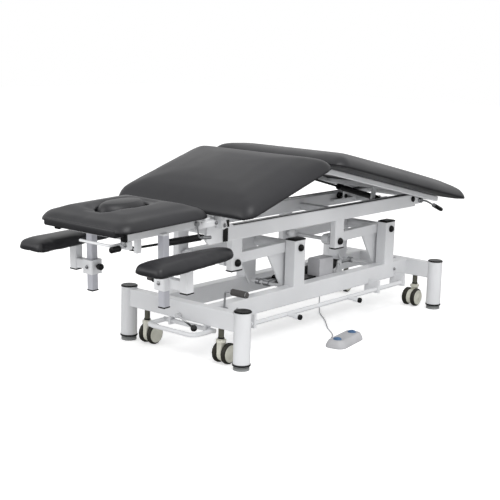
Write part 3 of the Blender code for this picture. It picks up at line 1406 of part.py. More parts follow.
# Foot switch with two dome buttons
switch_place = Pivot("foot_switch_place", (SWITCH_X, SWITCH_Y, 0.0), root, 0.0, SWITCH_TURN)
switch_outline = rounded_outline(
    SWITCH_X - SWITCH_LENGTH / 2,
    SWITCH_X + SWITCH_LENGTH / 2,
    SWITCH_Y - SWITCH_DEPTH / 2,
    SWITCH_Y + SWITCH_DEPTH / 2,
    0.030,
    5,
)
switch_body = bmesh.new()
switch_loops = []
for inset, part in ((0.001, 0.0), (0.0, 0.15), (0.003, 0.45), (0.010, 0.88), (0.014, 1.0)):
    ring = [switch_body.verts.new((p.x, p.y, SWITCH_HEIGHT * part)) for p in drawn_in(switch_outline, inset)]
    switch_loops.append(ring)
for low, high in zip(switch_loops, switch_loops[1:]):
    for number in range(len(low)):
        after = (number + 1) % len(low)
        switch_body.faces.new((low[number], low[after], high[after], high[number]))
switch_body.faces.new(list(reversed(switch_loops[0])))
switch_body.faces.new(switch_loops[-1])
well_bottom = SWITCH_HEIGHT - 0.010
switch_cuts = []
for side in (-1, 1):
    button_x = SWITCH_X + side * BUTTON_SPACING / 2
    well = rod(
        (button_x, SWITCH_Y, well_bottom),
        (button_x, SWITCH_Y, SWITCH_HEIGHT + 0.02), BUTTON_DIA + BORE_PLAY, 20,
    )
    switch_cuts.append(well)
waist_y = SWITCH_Y + SWITCH_DEPTH / 2 + 0.030
switch_cuts.append(rod((SWITCH_X, waist_y, -0.01), (SWITCH_X, waist_y, SWITCH_HEIGHT + 0.01), 0.084, 24))
entry_y = waist_y - 0.042
entry_z = 0.012
switch_cuts.append(
    rod((SWITCH_X, entry_y + 0.02, entry_z), (SWITCH_X, entry_y - 0.012, entry_z), CORD_DIA + BORE_PLAY, 16),
)
put("foot_switch_housing", switch_place, GREY, weld([switch_body], switch_cuts))
dome = BUTTON_DIA / 2
button_low = well_bottom + 0.005
button_profile = [
    (0.0, 0.0),
    (dome, 0.0),
    (dome, 0.006),
    (dome * 0.92, 0.0085),
    (dome * 0.7, 0.011),
    (dome * 0.35, 0.0128),
    (0.0, 0.0132),
]
for name, side in (("head", -1), ("foot", 1)):
    place = (SWITCH_X + side * BUTTON_SPACING / 2, SWITCH_Y, button_low)
    button_axis = Pivot("switch_button_" + name + "_axis", place, switch_place)
    put("switch_button_" + name, button_axis, BLUE, turned(button_profile, place, (0, 0, 1), 20))

# Cord from the gland down to the floor and on to the foot switch
def smooth(points, step):
    """Evenly close points on a smooth curve through the route."""
    points = [Vector(point) for point in points]
    ends = [2 * points[0] - points[1]] + points + [2 * points[-1] - points[-2]]
    route = [points[0]]
    for before, here, after, beyond in zip(ends, ends[1:], ends[2:], ends[3:]):
        count = max(1, round((after - here).length / step))
        for number in range(1, count + 1):
            t = number / count
            route.append(
                0.5
                * (
                    2 * here
                    + (after - before) * t
                    + (2 * before - 5 * here + 4 * after - beyond) * t**2
                    + (3 * here - before - 3 * after + beyond) * t**3
                )
            )
    return route


cord_radius = CORD_DIA / 2
gland_top = mount_top - 0.012
floor = cord_radius + GAP


def beside_switch(x, y, z):
    """A place given from the switch's middle, in the drawing frame."""
    turn = Matrix.Rotation(SWITCH_TURN, 3, "Z")
    return turn @ Vector((x, y, z)) + Vector((SWITCH_X, SWITCH_Y, 0.0))


entry = entry_y - SWITCH_Y
cord_route = [
    (GLAND_PLACE[0], GLAND_PLACE[1], gland_top - 0.004),
    (GLAND_PLACE[0], GLAND_PLACE[1], gland_top - 0.045),
    (GLAND_PLACE[0] - 0.003, GLAND_PLACE[1] - 0.002, 0.052),
    (GLAND_PLACE[0] - 0.014, GLAND_PLACE[1] - 0.009, 0.014),
    (GLAND_PLACE[0] - 0.040, GLAND_PLACE[1] - 0.030, floor),
    (0.210, 0.004, floor),
    (0.132, -0.078, floor),
    (0.070, -0.134, floor),
    (0.027, -0.172, floor),
    (-0.008, -0.212, floor),
    (-0.048, -0.252, floor),
    beside_switch(0.008, entry + 0.030, floor + 0.002),
    beside_switch(0.0, entry + 0.008, entry_z),
    beside_switch(0.0, entry - 0.009, entry_z),
]
cord_points = [Vector((p.x, p.y, max(p.z, floor))) for p in smooth(cord_route, CORD_STEP)]
put("foot_switch_cord", root, RUBBER, tube(cord_points, CORD_DIA, 2))

# Stand the finished table on the middle of its own footprint
bpy.context.view_layer.update()
low = Vector((math.inf, math.inf, math.inf))
high = -low
for piece in table.objects:
    if piece.type == "MESH":
        for vert in piece.data.vertices:
            place = piece.matrix_world @ vert.co
            low = Vector(map(min, low, place))
            high = Vector(map(max, high, place))
root.empty.location = (-(low.x + high.x) / 2, -(low.y + high.y) / 2, -low.z)
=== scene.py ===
"""Looks for an electric treatment table: charcoal pads over a white powder-coated lifting frame."""

import math
from collections import namedtuple

import bmesh
import bpy
from mathutils import Matrix, Vector


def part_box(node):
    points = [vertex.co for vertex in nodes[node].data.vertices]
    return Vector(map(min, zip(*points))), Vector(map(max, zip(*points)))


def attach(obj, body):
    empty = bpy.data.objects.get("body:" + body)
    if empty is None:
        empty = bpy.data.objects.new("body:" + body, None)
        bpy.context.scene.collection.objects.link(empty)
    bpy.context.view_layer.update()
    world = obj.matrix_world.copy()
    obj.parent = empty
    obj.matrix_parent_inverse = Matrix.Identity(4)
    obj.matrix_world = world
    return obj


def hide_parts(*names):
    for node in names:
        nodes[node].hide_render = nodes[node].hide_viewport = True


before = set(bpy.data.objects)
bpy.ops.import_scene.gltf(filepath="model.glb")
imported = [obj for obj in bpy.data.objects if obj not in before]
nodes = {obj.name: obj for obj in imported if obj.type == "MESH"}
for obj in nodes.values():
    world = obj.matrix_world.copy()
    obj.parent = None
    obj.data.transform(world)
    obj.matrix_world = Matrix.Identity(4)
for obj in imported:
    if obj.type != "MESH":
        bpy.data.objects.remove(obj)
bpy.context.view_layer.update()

# The frame's middle: places below are metres from the middle of the base, as the table was drawn.
base_low, base_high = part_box("base_frame")
MIDDLE = Vector(((base_low.x + base_high.x) / 2, (base_low.y + base_high.y) / 2, 0.0))

MID_PIVOT = Vector((-0.655, 0.0, 0.515))
HEAD_PIVOT = Vector((-0.693, 0.0, 0.533))
MID_TILT = math.radians(16.8)
LEG_TILT = math.radians(12.77)
HEAD_TILT = math.radians(1.8)

# Where the level parts and the tilted head section stand in the photograph.
LEVEL = Matrix.Translation(MIDDLE)
HEAD = (LEVEL @ Matrix.Translation(HEAD_PIVOT) @ Matrix.Rotation(-HEAD_TILT, 4, "Y")
        @ Matrix.Translation(-HEAD_PIVOT))

# Camera, from the photograph's own perspective.
CAMERA_AZIMUTH = math.radians(-50.384)
CAMERA_HEIGHT_ANGLE = math.radians(11.051)
CAMERA_ROLL = math.radians(1.637)
CAMERA_PLACE = Vector((-3.717, -2.8415, 1.2187))
SENSOR_WIDTH_MM = 36.0
LENS_MM = 82.3

back = Vector((
    math.sin(CAMERA_AZIMUTH) * math.cos(CAMERA_HEIGHT_ANGLE),
    -math.cos(CAMERA_AZIMUTH) * math.cos(CAMERA_HEIGHT_ANGLE),
    math.sin(CAMERA_HEIGHT_ANGLE),
))
level_right = (-back).cross(Vector((0, 0, 1))).normalized()
level_up = back.cross(level_right)
right = math.cos(CAMERA_ROLL) * level_right + math.sin(CAMERA_ROLL) * level_up
up = -math.sin(CAMERA_ROLL) * level_right + math.cos(CAMERA_ROLL) * level_up
camera = bpy.data.objects.new("camera", bpy.data.cameras.new("camera"))
camera.data.sensor_width = SENSOR_WIDTH_MM
camera.data.lens = LENS_MM
camera.matrix_world = Matrix((
    (right.x, up.x, back.x, CAMERA_PLACE.x + MIDDLE.x),
    (right.y, up.y, back.y, CAMERA_PLACE.y + MIDDLE.y),
    (right.z, up.z, back.z, CAMERA_PLACE.z),
    (0.0, 0.0, 0.0, 1.0),
))
bpy.context.scene.collection.objects.link(camera)
bpy.context.scene.camera = camera


def paint(code):
    """A colour code such as e2e2e6 as the renderer's linear colour."""
    channels = [int(code[i:i + 2], 16) / 255 for i in (0, 2, 4)]
    return [c / 12.92 if c <= 0.04045 else ((c + 0.055) / 1.055) ** 2.4 for c in channels] + [1.0]


def add(tree, kind, inputs=None, **settings):
    """One shader node; an input is given a value, or an output to link from."""
    made = tree.nodes.new(kind)
    for name, value in settings.items():
        setattr(made, name, value)
    for name, value in (inputs or {}).items():
        if isinstance(value, bpy.types.NodeSocket):
            tree.links.new(value, made.inputs[name])
        else:
            made.inputs[name].default_value = value
    return made


def finish_of(name, dark, light, tone_mm, grain_mm, bump_mm, smooth, rough, **fixed):
    """A surface whose tone drifts over tone_mm, whose grain is grain_mm wide and bump_mm deep."""
    material = bpy.data.materials.new(name)
    material.use_nodes = True
    tree = material.node_tree
    shader = tree.nodes["Principled BSDF"]
    place = add(tree, "ShaderNodeTexCoord").outputs["Object"]
    tone = add(tree, "ShaderNodeTexNoise",
               {"Vector": place, "Scale": 1000.0 / tone_mm, "Detail": 4.0}).outputs["Fac"]
    grain = add(tree, "ShaderNodeTexNoise",
                {"Vector": place, "Scale": 1000.0 / grain_mm, "Detail": 2.0}).outputs["Fac"]
    ramp = add(tree, "ShaderNodeMapRange",
               {"Value": tone, "From Min": 0.3, "From Max": 0.7}).outputs["Result"]
    colour = add(tree, "ShaderNodeMix", {0: ramp, 6: paint(dark), 7: paint(light)},
                 data_type="RGBA").outputs[2]
    gloss = add(tree, "ShaderNodeMapRange",
                {"Value": tone, "From Min": 0.3, "From Max": 0.7,
                 "To Min": smooth, "To Max": rough}).outputs["Result"]
    bump = add(tree, "ShaderNodeBump",
               {"Height": grain, "Strength": 0.5, "Distance": bump_mm / 1000}).outputs["Normal"]
    tree.links.new(colour, shader.inputs["Base Color"])
    tree.links.new(gloss, shader.inputs["Roughness"])
    tree.links.new(bump, shader.inputs["Normal"])
    for socket, value in fixed.items():
        shader.inputs[socket.replace("_", " ")].default_value = value
    return material


# Oven-baked powder coat: a soft, slightly pebbled white that spreads highlights along the tubes.
# The greyer copy of this coat below is painted shade, for the ball pedal's arm and the lift shafts.
COAT = ("dbdcde", "e5e6e8", 260, 5, 0.06, 0.30, 0.42)
SHADED_COAT = ("c6c7c9", "d2d3d5", 60, 3, 0.04, 0.32, 0.44)
COAT_SHINE = 0.15
POWDER_COAT = finish_of("white_powder_coat_oven_baked", *COAT, Coat_Weight=COAT_SHINE)
# Calendered vinyl over foam: satin, with a leather-like grain drawn coarser than life so it shows.
VINYL = finish_of("charcoal_vinyl_calendered", "17171a", "1e1e22", 180, 4, 0.10, 0.40, 0.50,
                  Specular_IOR_Level=0.45)
# Nylon from a spark-worn mould: black, fine-grained, with a broad dull highlight.
NYLON = finish_of("black_nylon_moulded", "060607", "0d0d0e", 40, 1.5, 0.05, 0.36, 0.50,
                  Specular_IOR_Level=0.30)
# Zinc-plated drawn steel: bright, with faint cloudy patches from the bath.
ZINC = finish_of("bright_steel_zinc_plated", "a2a3a6", "b8b9bb", 30, 2, 0.005, 0.36, 0.50, Metallic=1.0)
# Moulded ABS: mid grey on the levelling feet, pale grey on the control box and the foot switch.
ABS_DARK = finish_of("grey_abs_moulded", "868888", "959797", 60, 1.2, 0.04, 0.42, 0.55)
ABS_LIGHT = finish_of("pale_abs_moulded", "b2b2b5", "bfbfc2", 60, 1.2, 0.04, 0.38, 0.50)
# Moulded nylon wheel hubs: warm cream with a soft shine.
HUB = finish_of("cream_nylon_moulded", "d2d1c4", "dddccf", 35, 1.5, 0.03, 0.32, 0.45)
# Cast polyurethane tyres: brown-black, dulled where they roll.
TYRE = finish_of("dark_tyre_cast", "1d1b14", "2d2b22", 15, 1.0, 0.05, 0.50, 0.75)
# Soft-touch overmoulded buttons: dusty blue, nearly matt.
SOFT_BLUE = finish_of("blue_rubber_overmoulded", "41638a", "4f7296", 20, 1.0, 0.03, 0.45, 0.60)
# Ribbed rubber hand grip: dark grey and matt.
GRIP = finish_of("grey_rubber_moulded", "403e3e", "524f4f", 20, 1.0, 0.05, 0.60, 0.75)
# Extruded PVC sheath of the switch cord: pale grey with a smooth shine.
PVC = finish_of("pale_pvc_extruded", "aaaaae", "b8b8bc", 30, 1.0, 0.01, 0.30, 0.42)


def second_colour(material, code, mask, metal=True):
    """Gives the part of a surface where the mask is 1 another colour, as bare metal or as a coat."""
    tree = material.node_tree
    shader = tree.nodes["Principled BSDF"]
    first = shader.inputs["Base Color"].links[0].from_socket
    colour = add(tree, "ShaderNodeMix", {0: mask, 6: first, 7: paint(code)}, data_type="RGBA").outputs[2]
    tree.links.new(colour, shader.inputs["Base Color"])
    if metal:
        tree.links.new(mask, shader.inputs["Metallic"])


def between(tree, value, low, high):
    """1 where the value lies between low and high, else 0."""
    over = add(tree, "ShaderNodeMath", {0: value, 1: low}, operation="GREATER_THAN").outputs[0]
    under = add(tree, "ShaderNodeMath", {0: value, 1: high}, operation="LESS_THAN").outputs[0]
    return add(tree, "ShaderNodeMath", {0: over, 1: under}, operation="MULTIPLY").outputs[0]


def axes_of(tree):
    """The place on the part as separate X, Y and Z outputs."""
    place = tree.nodes["Texture Coordinate"].outputs["Object"]
    return add(tree, "ShaderNodeSeparateXYZ", {0: place}).outputs


def from_middle(tree, side):
    """The distance from the middle of the table's width."""
    across = add(tree, "ShaderNodeMath", {0: side, 1: MIDDLE.y}, operation="SUBTRACT").outputs[0]
    return add(tree, "ShaderNodeMath", {0: across}, operation="ABSOLUTE").outputs[0]


PAST_THE_PART = 1.0  # metres: beyond any height or half width of a piece with two colours

# The castor stem above this height is plated steel, the housing below it moulded nylon.
STEM_FOOT = 0.0965
CASTOR = finish_of("castor_nylon_and_plated_stem", "d2d1c4", "dddccf", 35, 1.5, 0.03, 0.30, 0.42)
castor_tree = CASTOR.node_tree
castor_height = axes_of(castor_tree)["Z"]
second_colour(CASTOR, "8b8a7e", between(castor_tree, castor_height, STEM_FOOT, PAST_THE_PART))

# The head frame is powder coated, but the two armrest posts under it are drawn aluminium, anodised grey.
POST_SPAN_X = (-1.000, -0.930)
POST_SPAN_Y = (0.160, 0.200)
HEAD_TUBE_UNDERSIDE = 0.5155
HEAD_COAT = finish_of("white_powder_coat_with_anodised_posts", *COAT, Coat_Weight=COAT_SHINE)
head_tree = HEAD_COAT.node_tree
head_axes = axes_of(head_tree)
along_post = between(head_tree, head_axes["X"], MIDDLE.x + POST_SPAN_X[0], MIDDLE.x + POST_SPAN_X[1])
beside_post = between(head_tree, from_middle(head_tree, head_axes["Y"]), *POST_SPAN_Y)
below_tube = between(head_tree, head_axes["Z"], 0.0, HEAD_TUBE_UNDERSIDE)
post_plan = add(head_tree, "ShaderNodeMath", {0: along_post, 1: beside_post}, operation="MULTIPLY").outputs[0]
post = add(head_tree, "ShaderNodeMath", {0: post_plan, 1: below_tube}, operation="MULTIPLY").outputs[0]
second_colour(HEAD_COAT, "b9bac1", post, metal=False)

# The ball pedal's arm is powder coated as the crossbar is, drawn in the greyer copy with painted shade, and
# only its ball is black nylon.
PEDAL_BALL_HEIGHT = 0.0255
PEDAL_COAT = finish_of("shaded_white_powder_coat_with_nylon_ball", *SHADED_COAT)
pedal_tree = PEDAL_COAT.node_tree
pedal_height = axes_of(pedal_tree)["Z"]
ball_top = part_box("ball_pedal")[0].z + PEDAL_BALL_HEIGHT
second_colour(PEDAL_COAT, "101011", between(pedal_tree, pedal_height, 0.0, ball_top), metal=False)

# The lift shafts are powder coated between the posts, drawn in the greyer copy with painted shade, and black
# only at their ends.
SHAFT_END = 0.148
SHAFT_COAT = finish_of("shaded_white_powder_coat_with_black_ends", *SHADED_COAT)
shaft_tree = SHAFT_COAT.node_tree
shaft_outwards = from_middle(shaft_tree, axes_of(shaft_tree)["Y"])
shaft_ends = between(shaft_tree, shaft_outwards, SHAFT_END, PAST_THE_PART)
second_colour(SHAFT_COAT, "0a0a0b", shaft_ends, metal=False)

MADE_OF = {
    "white_powder_coat": POWDER_COAT,
    "black_plastic": NYLON,
    "charcoal_upholstery": VINYL,
    "bright_steel": ZINC,
    "grey_plastic": ABS_DARK,
    "cream_plastic": CASTOR,
    "dark_tyre": TYRE,
    "blue_plastic": SOFT_BLUE,
    "grey_rubber": GRIP,
}
for node in nodes.values():
    for slot in node.material_slots:
        slot.material = MADE_OF[slot.material.name.split(".")[0]]
nodes["foot_switch_housing"].material_slots[0].material = ABS_LIGHT
nodes["head_frame"].material_slots[0].material = HEAD_COAT
nodes["control_box"].material_slots[0].material = ABS_LIGHT
nodes["ball_pedal"].material_slots[0].material = PEDAL_COAT
for lever in ("hand_lever", "head_release_lever"):
    nodes[lever].material_slots[0].material = ZINC
for shaft in ("head_base_shaft", "foot_base_shaft", "head_frame_shaft", "foot_frame_shaft"):
    nodes[shaft].material_slots[0].material = SHAFT_COAT


def piece(name, body, material, *shapes):
    """One visible piece made of the given bmesh shapes, riding on a body."""
    mesh = bpy.data.meshes.new(name)
    whole = bmesh.new()
    for shape in shapes:
        part = bpy.data.meshes.new(name)
        shape.to_mesh(part)
        whole.from_mesh(part)
        shape.free()
        bpy.data.meshes.remove(part)
    bmesh.ops.recalc_face_normals(whole, faces=whole.faces)
    whole.to_mesh(mesh)
    whole.free()
    mesh.shade_smooth()
    made = bpy.data.objects.new(name, mesh)
    bpy.context.scene.collection.objects.link(made)
    made.data.materials.append(material)
    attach(made, body)
    return made


def softened_block(at, middle, size, rounding):
    """A block with rounded edges, in the place of its section."""
    shape = bmesh.new()
    bmesh.ops.create_cube(shape, size=1.0)
    bmesh.ops.scale(shape, vec=size, verts=shape.verts)
    bmesh.ops.bevel(shape, geom=shape.edges[:], offset=rounding, segments=3, profile=0.5, affect="EDGES")
    shape.transform(at @ Matrix.Translation(middle))
    return shape


def lathed(at, middle, axis, profile, sides=32):
    """A turned shape: profile gives (radius, distance along axis) from one end to the other."""
    shape = bmesh.new()
    rings = []
    for radius, along in profile:
        rings.append([
            shape.verts.new((radius * math.cos(2 * math.pi * i / sides),
                             radius * math.sin(2 * math.pi * i / sides), along))
            for i in range(sides)
        ])
    for lower, upper in zip(rings, rings[1:]):
        for i in range(sides):
            shape.faces.new((lower[i], lower[(i + 1) % sides], upper[(i + 1) % sides], upper[i]))
    shape.faces.new(reversed(rings[0]))
    shape.faces.new(rings[-1])
    turn = Vector((0, 0, 1)).rotation_difference(Vector(axis)).to_matrix().to_4x4()
    shape.transform(at @ Matrix.Translation(middle) @ turn)
    return shape


# Foot switch cord: it drops from the gland under the actuator, crosses the floor and enters the switch.
CORD_DIAMETER = 0.005
ON_FLOOR = 0.0028
SWITCH = Vector((-0.100, -0.3465, 0.0))
SWITCH_TURN = Matrix.Rotation(math.radians(10.0), 4, "Z")
cord_points = [
    Vector(p) for p in (
        (0.315, 0.085, 0.149), (0.315, 0.085, 0.108), (0.312, 0.083, 0.052), (0.301, 0.076, 0.014),
        (0.275, 0.055, ON_FLOOR), (0.210, 0.004, ON_FLOOR), (0.132, -0.078, ON_FLOOR),
        (0.070, -0.134, ON_FLOOR), (0.027, -0.172, ON_FLOOR), (-0.008, -0.212, ON_FLOOR),
        (-0.048, -0.252, ON_FLOOR),
    )
]
for entry in ((0.008, 0.0605, ON_FLOOR + 0.002), (0.0, 0.0385, 0.012), (0.0, 0.0215, 0.012)):
    cord_points.append(SWITCH + SWITCH_TURN @ Vector(entry))


def smoothed(points, step):
    """A smooth run through the points, a step apart and never under the floor."""
    whole = [2 * points[0] - points[1]] + points + [2 * points[-1] - points[-2]]
    run = []
    for a, b, c, d in zip(whole, whole[1:], whole[2:], whole[3:]):
        count = max(1, round((c - b).length / step))
        for i in range(count):
            t = i / count
            spot = 0.5 * (2 * b + (c - a) * t + (2 * a - 5 * b + 4 * c - d) * t * t
                          + (3 * b - a - 3 * c + d) * t ** 3)
            spot.z = max(spot.z, ON_FLOOR)
            run.append(spot)
    run.append(points[-1])
    return run


CORD_STEP = 0.026
cord_run = [spot + MIDDLE for spot in smoothed(cord_points, CORD_STEP)]
cord_curve = bpy.data.curves.new("switch_cord", "CURVE")
cord_curve.dimensions = "3D"
cord_curve.bevel_depth = CORD_DIAMETER / 2
cord_curve.bevel_resolution = 4
cord_curve.use_fill_caps = True
spline = cord_curve.splines.new("POLY")
spline.points.add(len(cord_run) - 1)
for point, spot in zip(spline.points, cord_run):
    point.co = (*spot, 1.0)
spline.use_smooth = True
switch_cord = bpy.data.objects.new("switch_cord", cord_curve)
bpy.context.scene.collection.objects.link(switch_cord)
cord_curve.materials.append(PVC)
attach(switch_cord, "base")
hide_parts("foot_switch_cord")


# Cushions: each pad's plain form is shrunk a little, filled with air as a tight cover is, and let settle.
# body it rides on, tilt of its section, mesh step, start smaller by, most it may swell,
# lift of the middle of its length, share of its thickness above which it is pressed flat
Cushion = namedtuple("Cushion", "body tilt step smaller most lift flat_above")
CUSHIONS = {
    "mid_pad": Cushion("mid", MID_TILT, 0.008, 0.003, 0.007, 0.010, 1.0),
    "leg_pad": Cushion("leg", -LEG_TILT, 0.009, 0.003, 0.007, 0.004, 1.0),
    "head_pad": Cushion("head", HEAD_TILT, 0.006, 0.0025, 0.006, 0.0, 1.0),
    "face_pillow": Cushion("pillow", HEAD_TILT, 0.004, 0.002, 0.005, 0.0, 0.80),
    "near_armrest_pad": Cushion("near_armrest", 0.0, 0.005, 0.002, 0.006, 0.0, 1.0),
    "far_armrest_pad": Cushion("far_armrest", 0.0, 0.005, 0.002, 0.006, 0.0, 1.0),
}
CLOTH_QUALITY = 4
CLOTH_FRAMES = 20
AIR_PRESSURE = 4.0
TUCK_SHARE = 0.10  # share of the thickness that stays crisp under the board
TUCK_RUN = 0.25  # share of the thickness over which the tight cover sets in
SMOOTH_FACTOR = 0.6
SMOOTH_ROUNDS = 14
PRESSED_AWAY = 0.65  # share of the height over flat_above that is pressed away


def fill_cushions():
    """Replaces every pad by a stuffed cover, all swollen together in one short cloth run."""
    made = {}
    for name, pad in CUSHIONS.items():
        blank = bpy.data.objects.new(name + "_cushion", nodes[name].data.copy())
        bpy.context.scene.collection.objects.link(blank)
        # The mesh is drawn with the pad lying level, so that its flat underside has no steps.
        lying = Matrix.Rotation(pad.tilt, 4, "Y")
        blank.data.transform(lying)
        remesh = blank.modifiers.new("even_mesh", "REMESH")
        remesh.mode = "VOXEL"
        remesh.voxel_size = pad.step
        mesh = bpy.data.meshes.new_from_object(
            blank.evaluated_get(bpy.context.evaluated_depsgraph_get()))
        mesh.transform(lying.inverted())
        blank.modifiers.clear()
        blank.data = mesh
        made[name] = blank
        for vertex, normal in zip(mesh.vertices, [n.vector.copy() for n in mesh.vertex_normals]):
            vertex.co -= pad.smaller * normal
        cloth = blank.modifiers.new("stuffing", "CLOTH")
        cloth.settings.quality = CLOTH_QUALITY
        cloth.settings.use_pressure = True
        cloth.settings.uniform_pressure_force = AIR_PRESSURE
        cloth.settings.effector_weights.gravity = 0.0
    for moment in range(1, CLOTH_FRAMES + 1):
        bpy.context.scene.frame_set(moment)
    for name, blank in made.items():
        pad = CUSHIONS[name]
        up_from_board = Vector((-math.sin(pad.tilt), 0.0, math.cos(pad.tilt)))
        heights = [v.co.dot(up_from_board) for v in nodes[name].data.vertices]
        board = min(heights)
        thick = max(heights) - board
        full = bpy.data.meshes.new_from_object(
            blank.evaluated_get(bpy.context.evaluated_depsgraph_get()))
        for vertex, start in zip(full.vertices, [v.co.copy() for v in blank.data.vertices]):
            swell = vertex.co - start
            if swell.length > pad.most:
                vertex.co = start + swell * (pad.most / swell.length)
        blank.modifiers.clear()
        blank.data = full
        # The cover is drawn tight over the foam: smooth on top, crisp where it is tucked under the board.
        tight = blank.vertex_groups.new(name="tight")
        for vertex in full.vertices:
            share = (vertex.co.dot(up_from_board) - board) / thick
            tight.add([vertex.index], min(1.0, max(0.0, (share - TUCK_SHARE) / TUCK_RUN)), "REPLACE")
        smooth = blank.modifiers.new("tight_cover", "SMOOTH")
        smooth.vertex_group = "tight"
        smooth.factor = SMOOTH_FACTOR
        smooth.iterations = SMOOTH_ROUNDS
        full = bpy.data.meshes.new_from_object(
            blank.evaluated_get(bpy.context.evaluated_depsgraph_get()))
        head_end = min(v.co.x for v in nodes[name].data.vertices)
        length = max(v.co.x for v in nodes[name].data.vertices) - head_end
        for vertex in full.vertices:
            height = vertex.co.dot(up_from_board) - board
            along = min(1.0, max(0.0, (vertex.co.x - head_end) / length))
            share = min(1.0, max(0.0, height / thick))
            settled = max(0.0, height) + pad.lift * share * math.sin(math.pi * along)
            over = settled - pad.flat_above * thick
            if over > 0 and pad.flat_above < 1.0:
                settled -= PRESSED_AWAY * over
            vertex.co += (settled - height) * up_from_board
        blank.modifiers.clear()
        blank.data = full
        full.shade_smooth()
        full.materials.clear()
        full.materials.append(VINYL)
        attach(blank, pad.body)
        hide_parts(name)
    bpy.context.scene.frame_set(1)


fill_cushions()


# Small fittings, each a rounded block or a turned shape, set just clear of the piece that carries it.
SEAT = 0.0003
SIDES = (-1, 1)
OUTER_FACE = 0.1516  # outer faces of the rails, posts and beams
POST_X = (-0.1533, 0.5011)
POST_Y = 0.1281
POST_TOP = 0.392
HANGER_X = (-0.5397, 0.1147)
HANGER_Y = 0.1366
HANGER_FOOT = 0.3287
BASE_SHAFT_HEIGHT = 0.3625
FRAME_SHAFT_HEIGHT = 0.3551
BEAM_TOP = 0.500
BEAM_FOOT_END = 0.694
MID_LUG_FACE = 0.185
HEAD_BAR_FACE = 0.1775
HEAD_TUBE_END = -1.130
ARM_POST = Vector((-0.965, 0.180, 0.275))  # foot of an armrest post
PAD_POST = Vector((-0.955, 0.278, 0.339))  # foot of an armrest pad's post
CAP_EDGE = 0.0018
PILLOW_HEIGHT = 0.0018
PILLOW_MARGIN = 0.010
PILLOW_EDGE = 0.0008


def caps_at(at, places, length, width, thick):
    """Pressed-in tube caps: a rounded plate with a low pillow on it; a negative thickness points down."""
    outwards = 1 if thick > 0 else -1
    shapes = []
    for place in places:
        middle = Vector(place)
        shapes.append(softened_block(at, middle + Vector((0, 0, thick / 2)),
                                     (length, width, abs(thick)), CAP_EDGE))
        shapes.append(softened_block(at, middle + Vector((0, 0, thick + outwards * PILLOW_HEIGHT / 2)),
                                     (length - PILLOW_MARGIN, width - PILLOW_MARGIN, PILLOW_HEIGHT),
                                     PILLOW_EDGE))
    return shapes


def block_pair(at, x, y, z, size, rounding):
    """The same rounded block on the near and on the far side."""
    return [softened_block(at, Vector((x, side * y, z)), size, rounding) for side in SIDES]


def on_outer_faces(profile, along, height):
    """A turned shape on the near and far outer faces, at each of the places along the table."""
    return [lathed(LEVEL, Vector((x, side * (OUTER_FACE + SEAT), height)), (0, side, 0), profile)
            for x in along for side in SIDES]


piece("base_post_caps", "base", NYLON, *caps_at(
    LEVEL, [(x, side * POST_Y, POST_TOP + SEAT) for x in POST_X for side in SIDES], 0.070, 0.048, 0.006))
piece("hanging_post_caps", "top", NYLON, *caps_at(
    LEVEL, [(x, side * HANGER_Y, HANGER_FOOT - SEAT) for x in HANGER_X for side in SIDES],
    0.062, 0.032, -0.005))

# Domed covers over the four through shafts, one on each outer face.
dome = [(0.0145, 0.0), (0.0145, 0.0030), (0.0138, 0.0065), (0.0115, 0.0100), (0.0075, 0.0122),
        (0.0020, 0.0130)]
piece("shaft_covers_base", "base", NYLON, *on_outer_faces(dome, POST_X, BASE_SHAFT_HEIGHT))
piece("shaft_covers_top", "top", NYLON, *on_outer_faces(dome, HANGER_X, FRAME_SHAFT_HEIGHT))

# A thin black band along the top edge of each beam, and plugs, buffers and stops on the beams of the upper
# frame.
piece("beam_edge_black_bands", "top", NYLON, *block_pair(
    LEVEL, 0.055, OUTER_FACE - 0.006, BEAM_TOP + SEAT + 0.0008, (1.25, 0.007, 0.0016), 0.0006))
piece("beam_foot_plugs", "top", NYLON, *block_pair(
    LEVEL, BEAM_FOOT_END + SEAT + 0.0015, 0.1316, 0.4715, (0.003, 0.036, 0.053), 0.0012))
piece("beam_head_plugs", "top", NYLON, *block_pair(
    LEVEL, -0.612, OUTER_FACE + SEAT + 0.0015, 0.4700, (0.026, 0.003, 0.050), 0.0012))
piece("mid_section_buffers", "top", NYLON, *block_pair(
    LEVEL, -0.607, OUTER_FACE + SEAT + 0.003, 0.5120, (0.022, 0.006, 0.026), 0.002))
stop = [(0.0105, 0.0), (0.0125, 0.0012), (0.0125, 0.0055), (0.0100, 0.0075), (0.0040, 0.0082)]
piece("beam_foot_stops", "top", NYLON, *on_outer_faces(stop, (0.668,), 0.479))

# Hexagon screw heads on a round washer.
washer = [(0.0070, 0.0), (0.0075, 0.0004), (0.0075, 0.0012), (0.0068, 0.0016)]
screw = [(0.0056, 0.0016), (0.0056, 0.0048), (0.0048, 0.0056)]


def screw_at(at, middle, axis):
    """One screw head with its washer."""
    return [lathed(at, middle, axis, washer, 20), lathed(at, middle, axis, screw, 6)]


def side_screws(at, along, face, height):
    """Screw heads on the near and far faces, at each of the places along the table."""
    shapes = []
    for x in along:
        for side in SIDES:
            shapes += screw_at(at, Vector((x, side * (face + SEAT), height)), (0, side, 0))
    return shapes


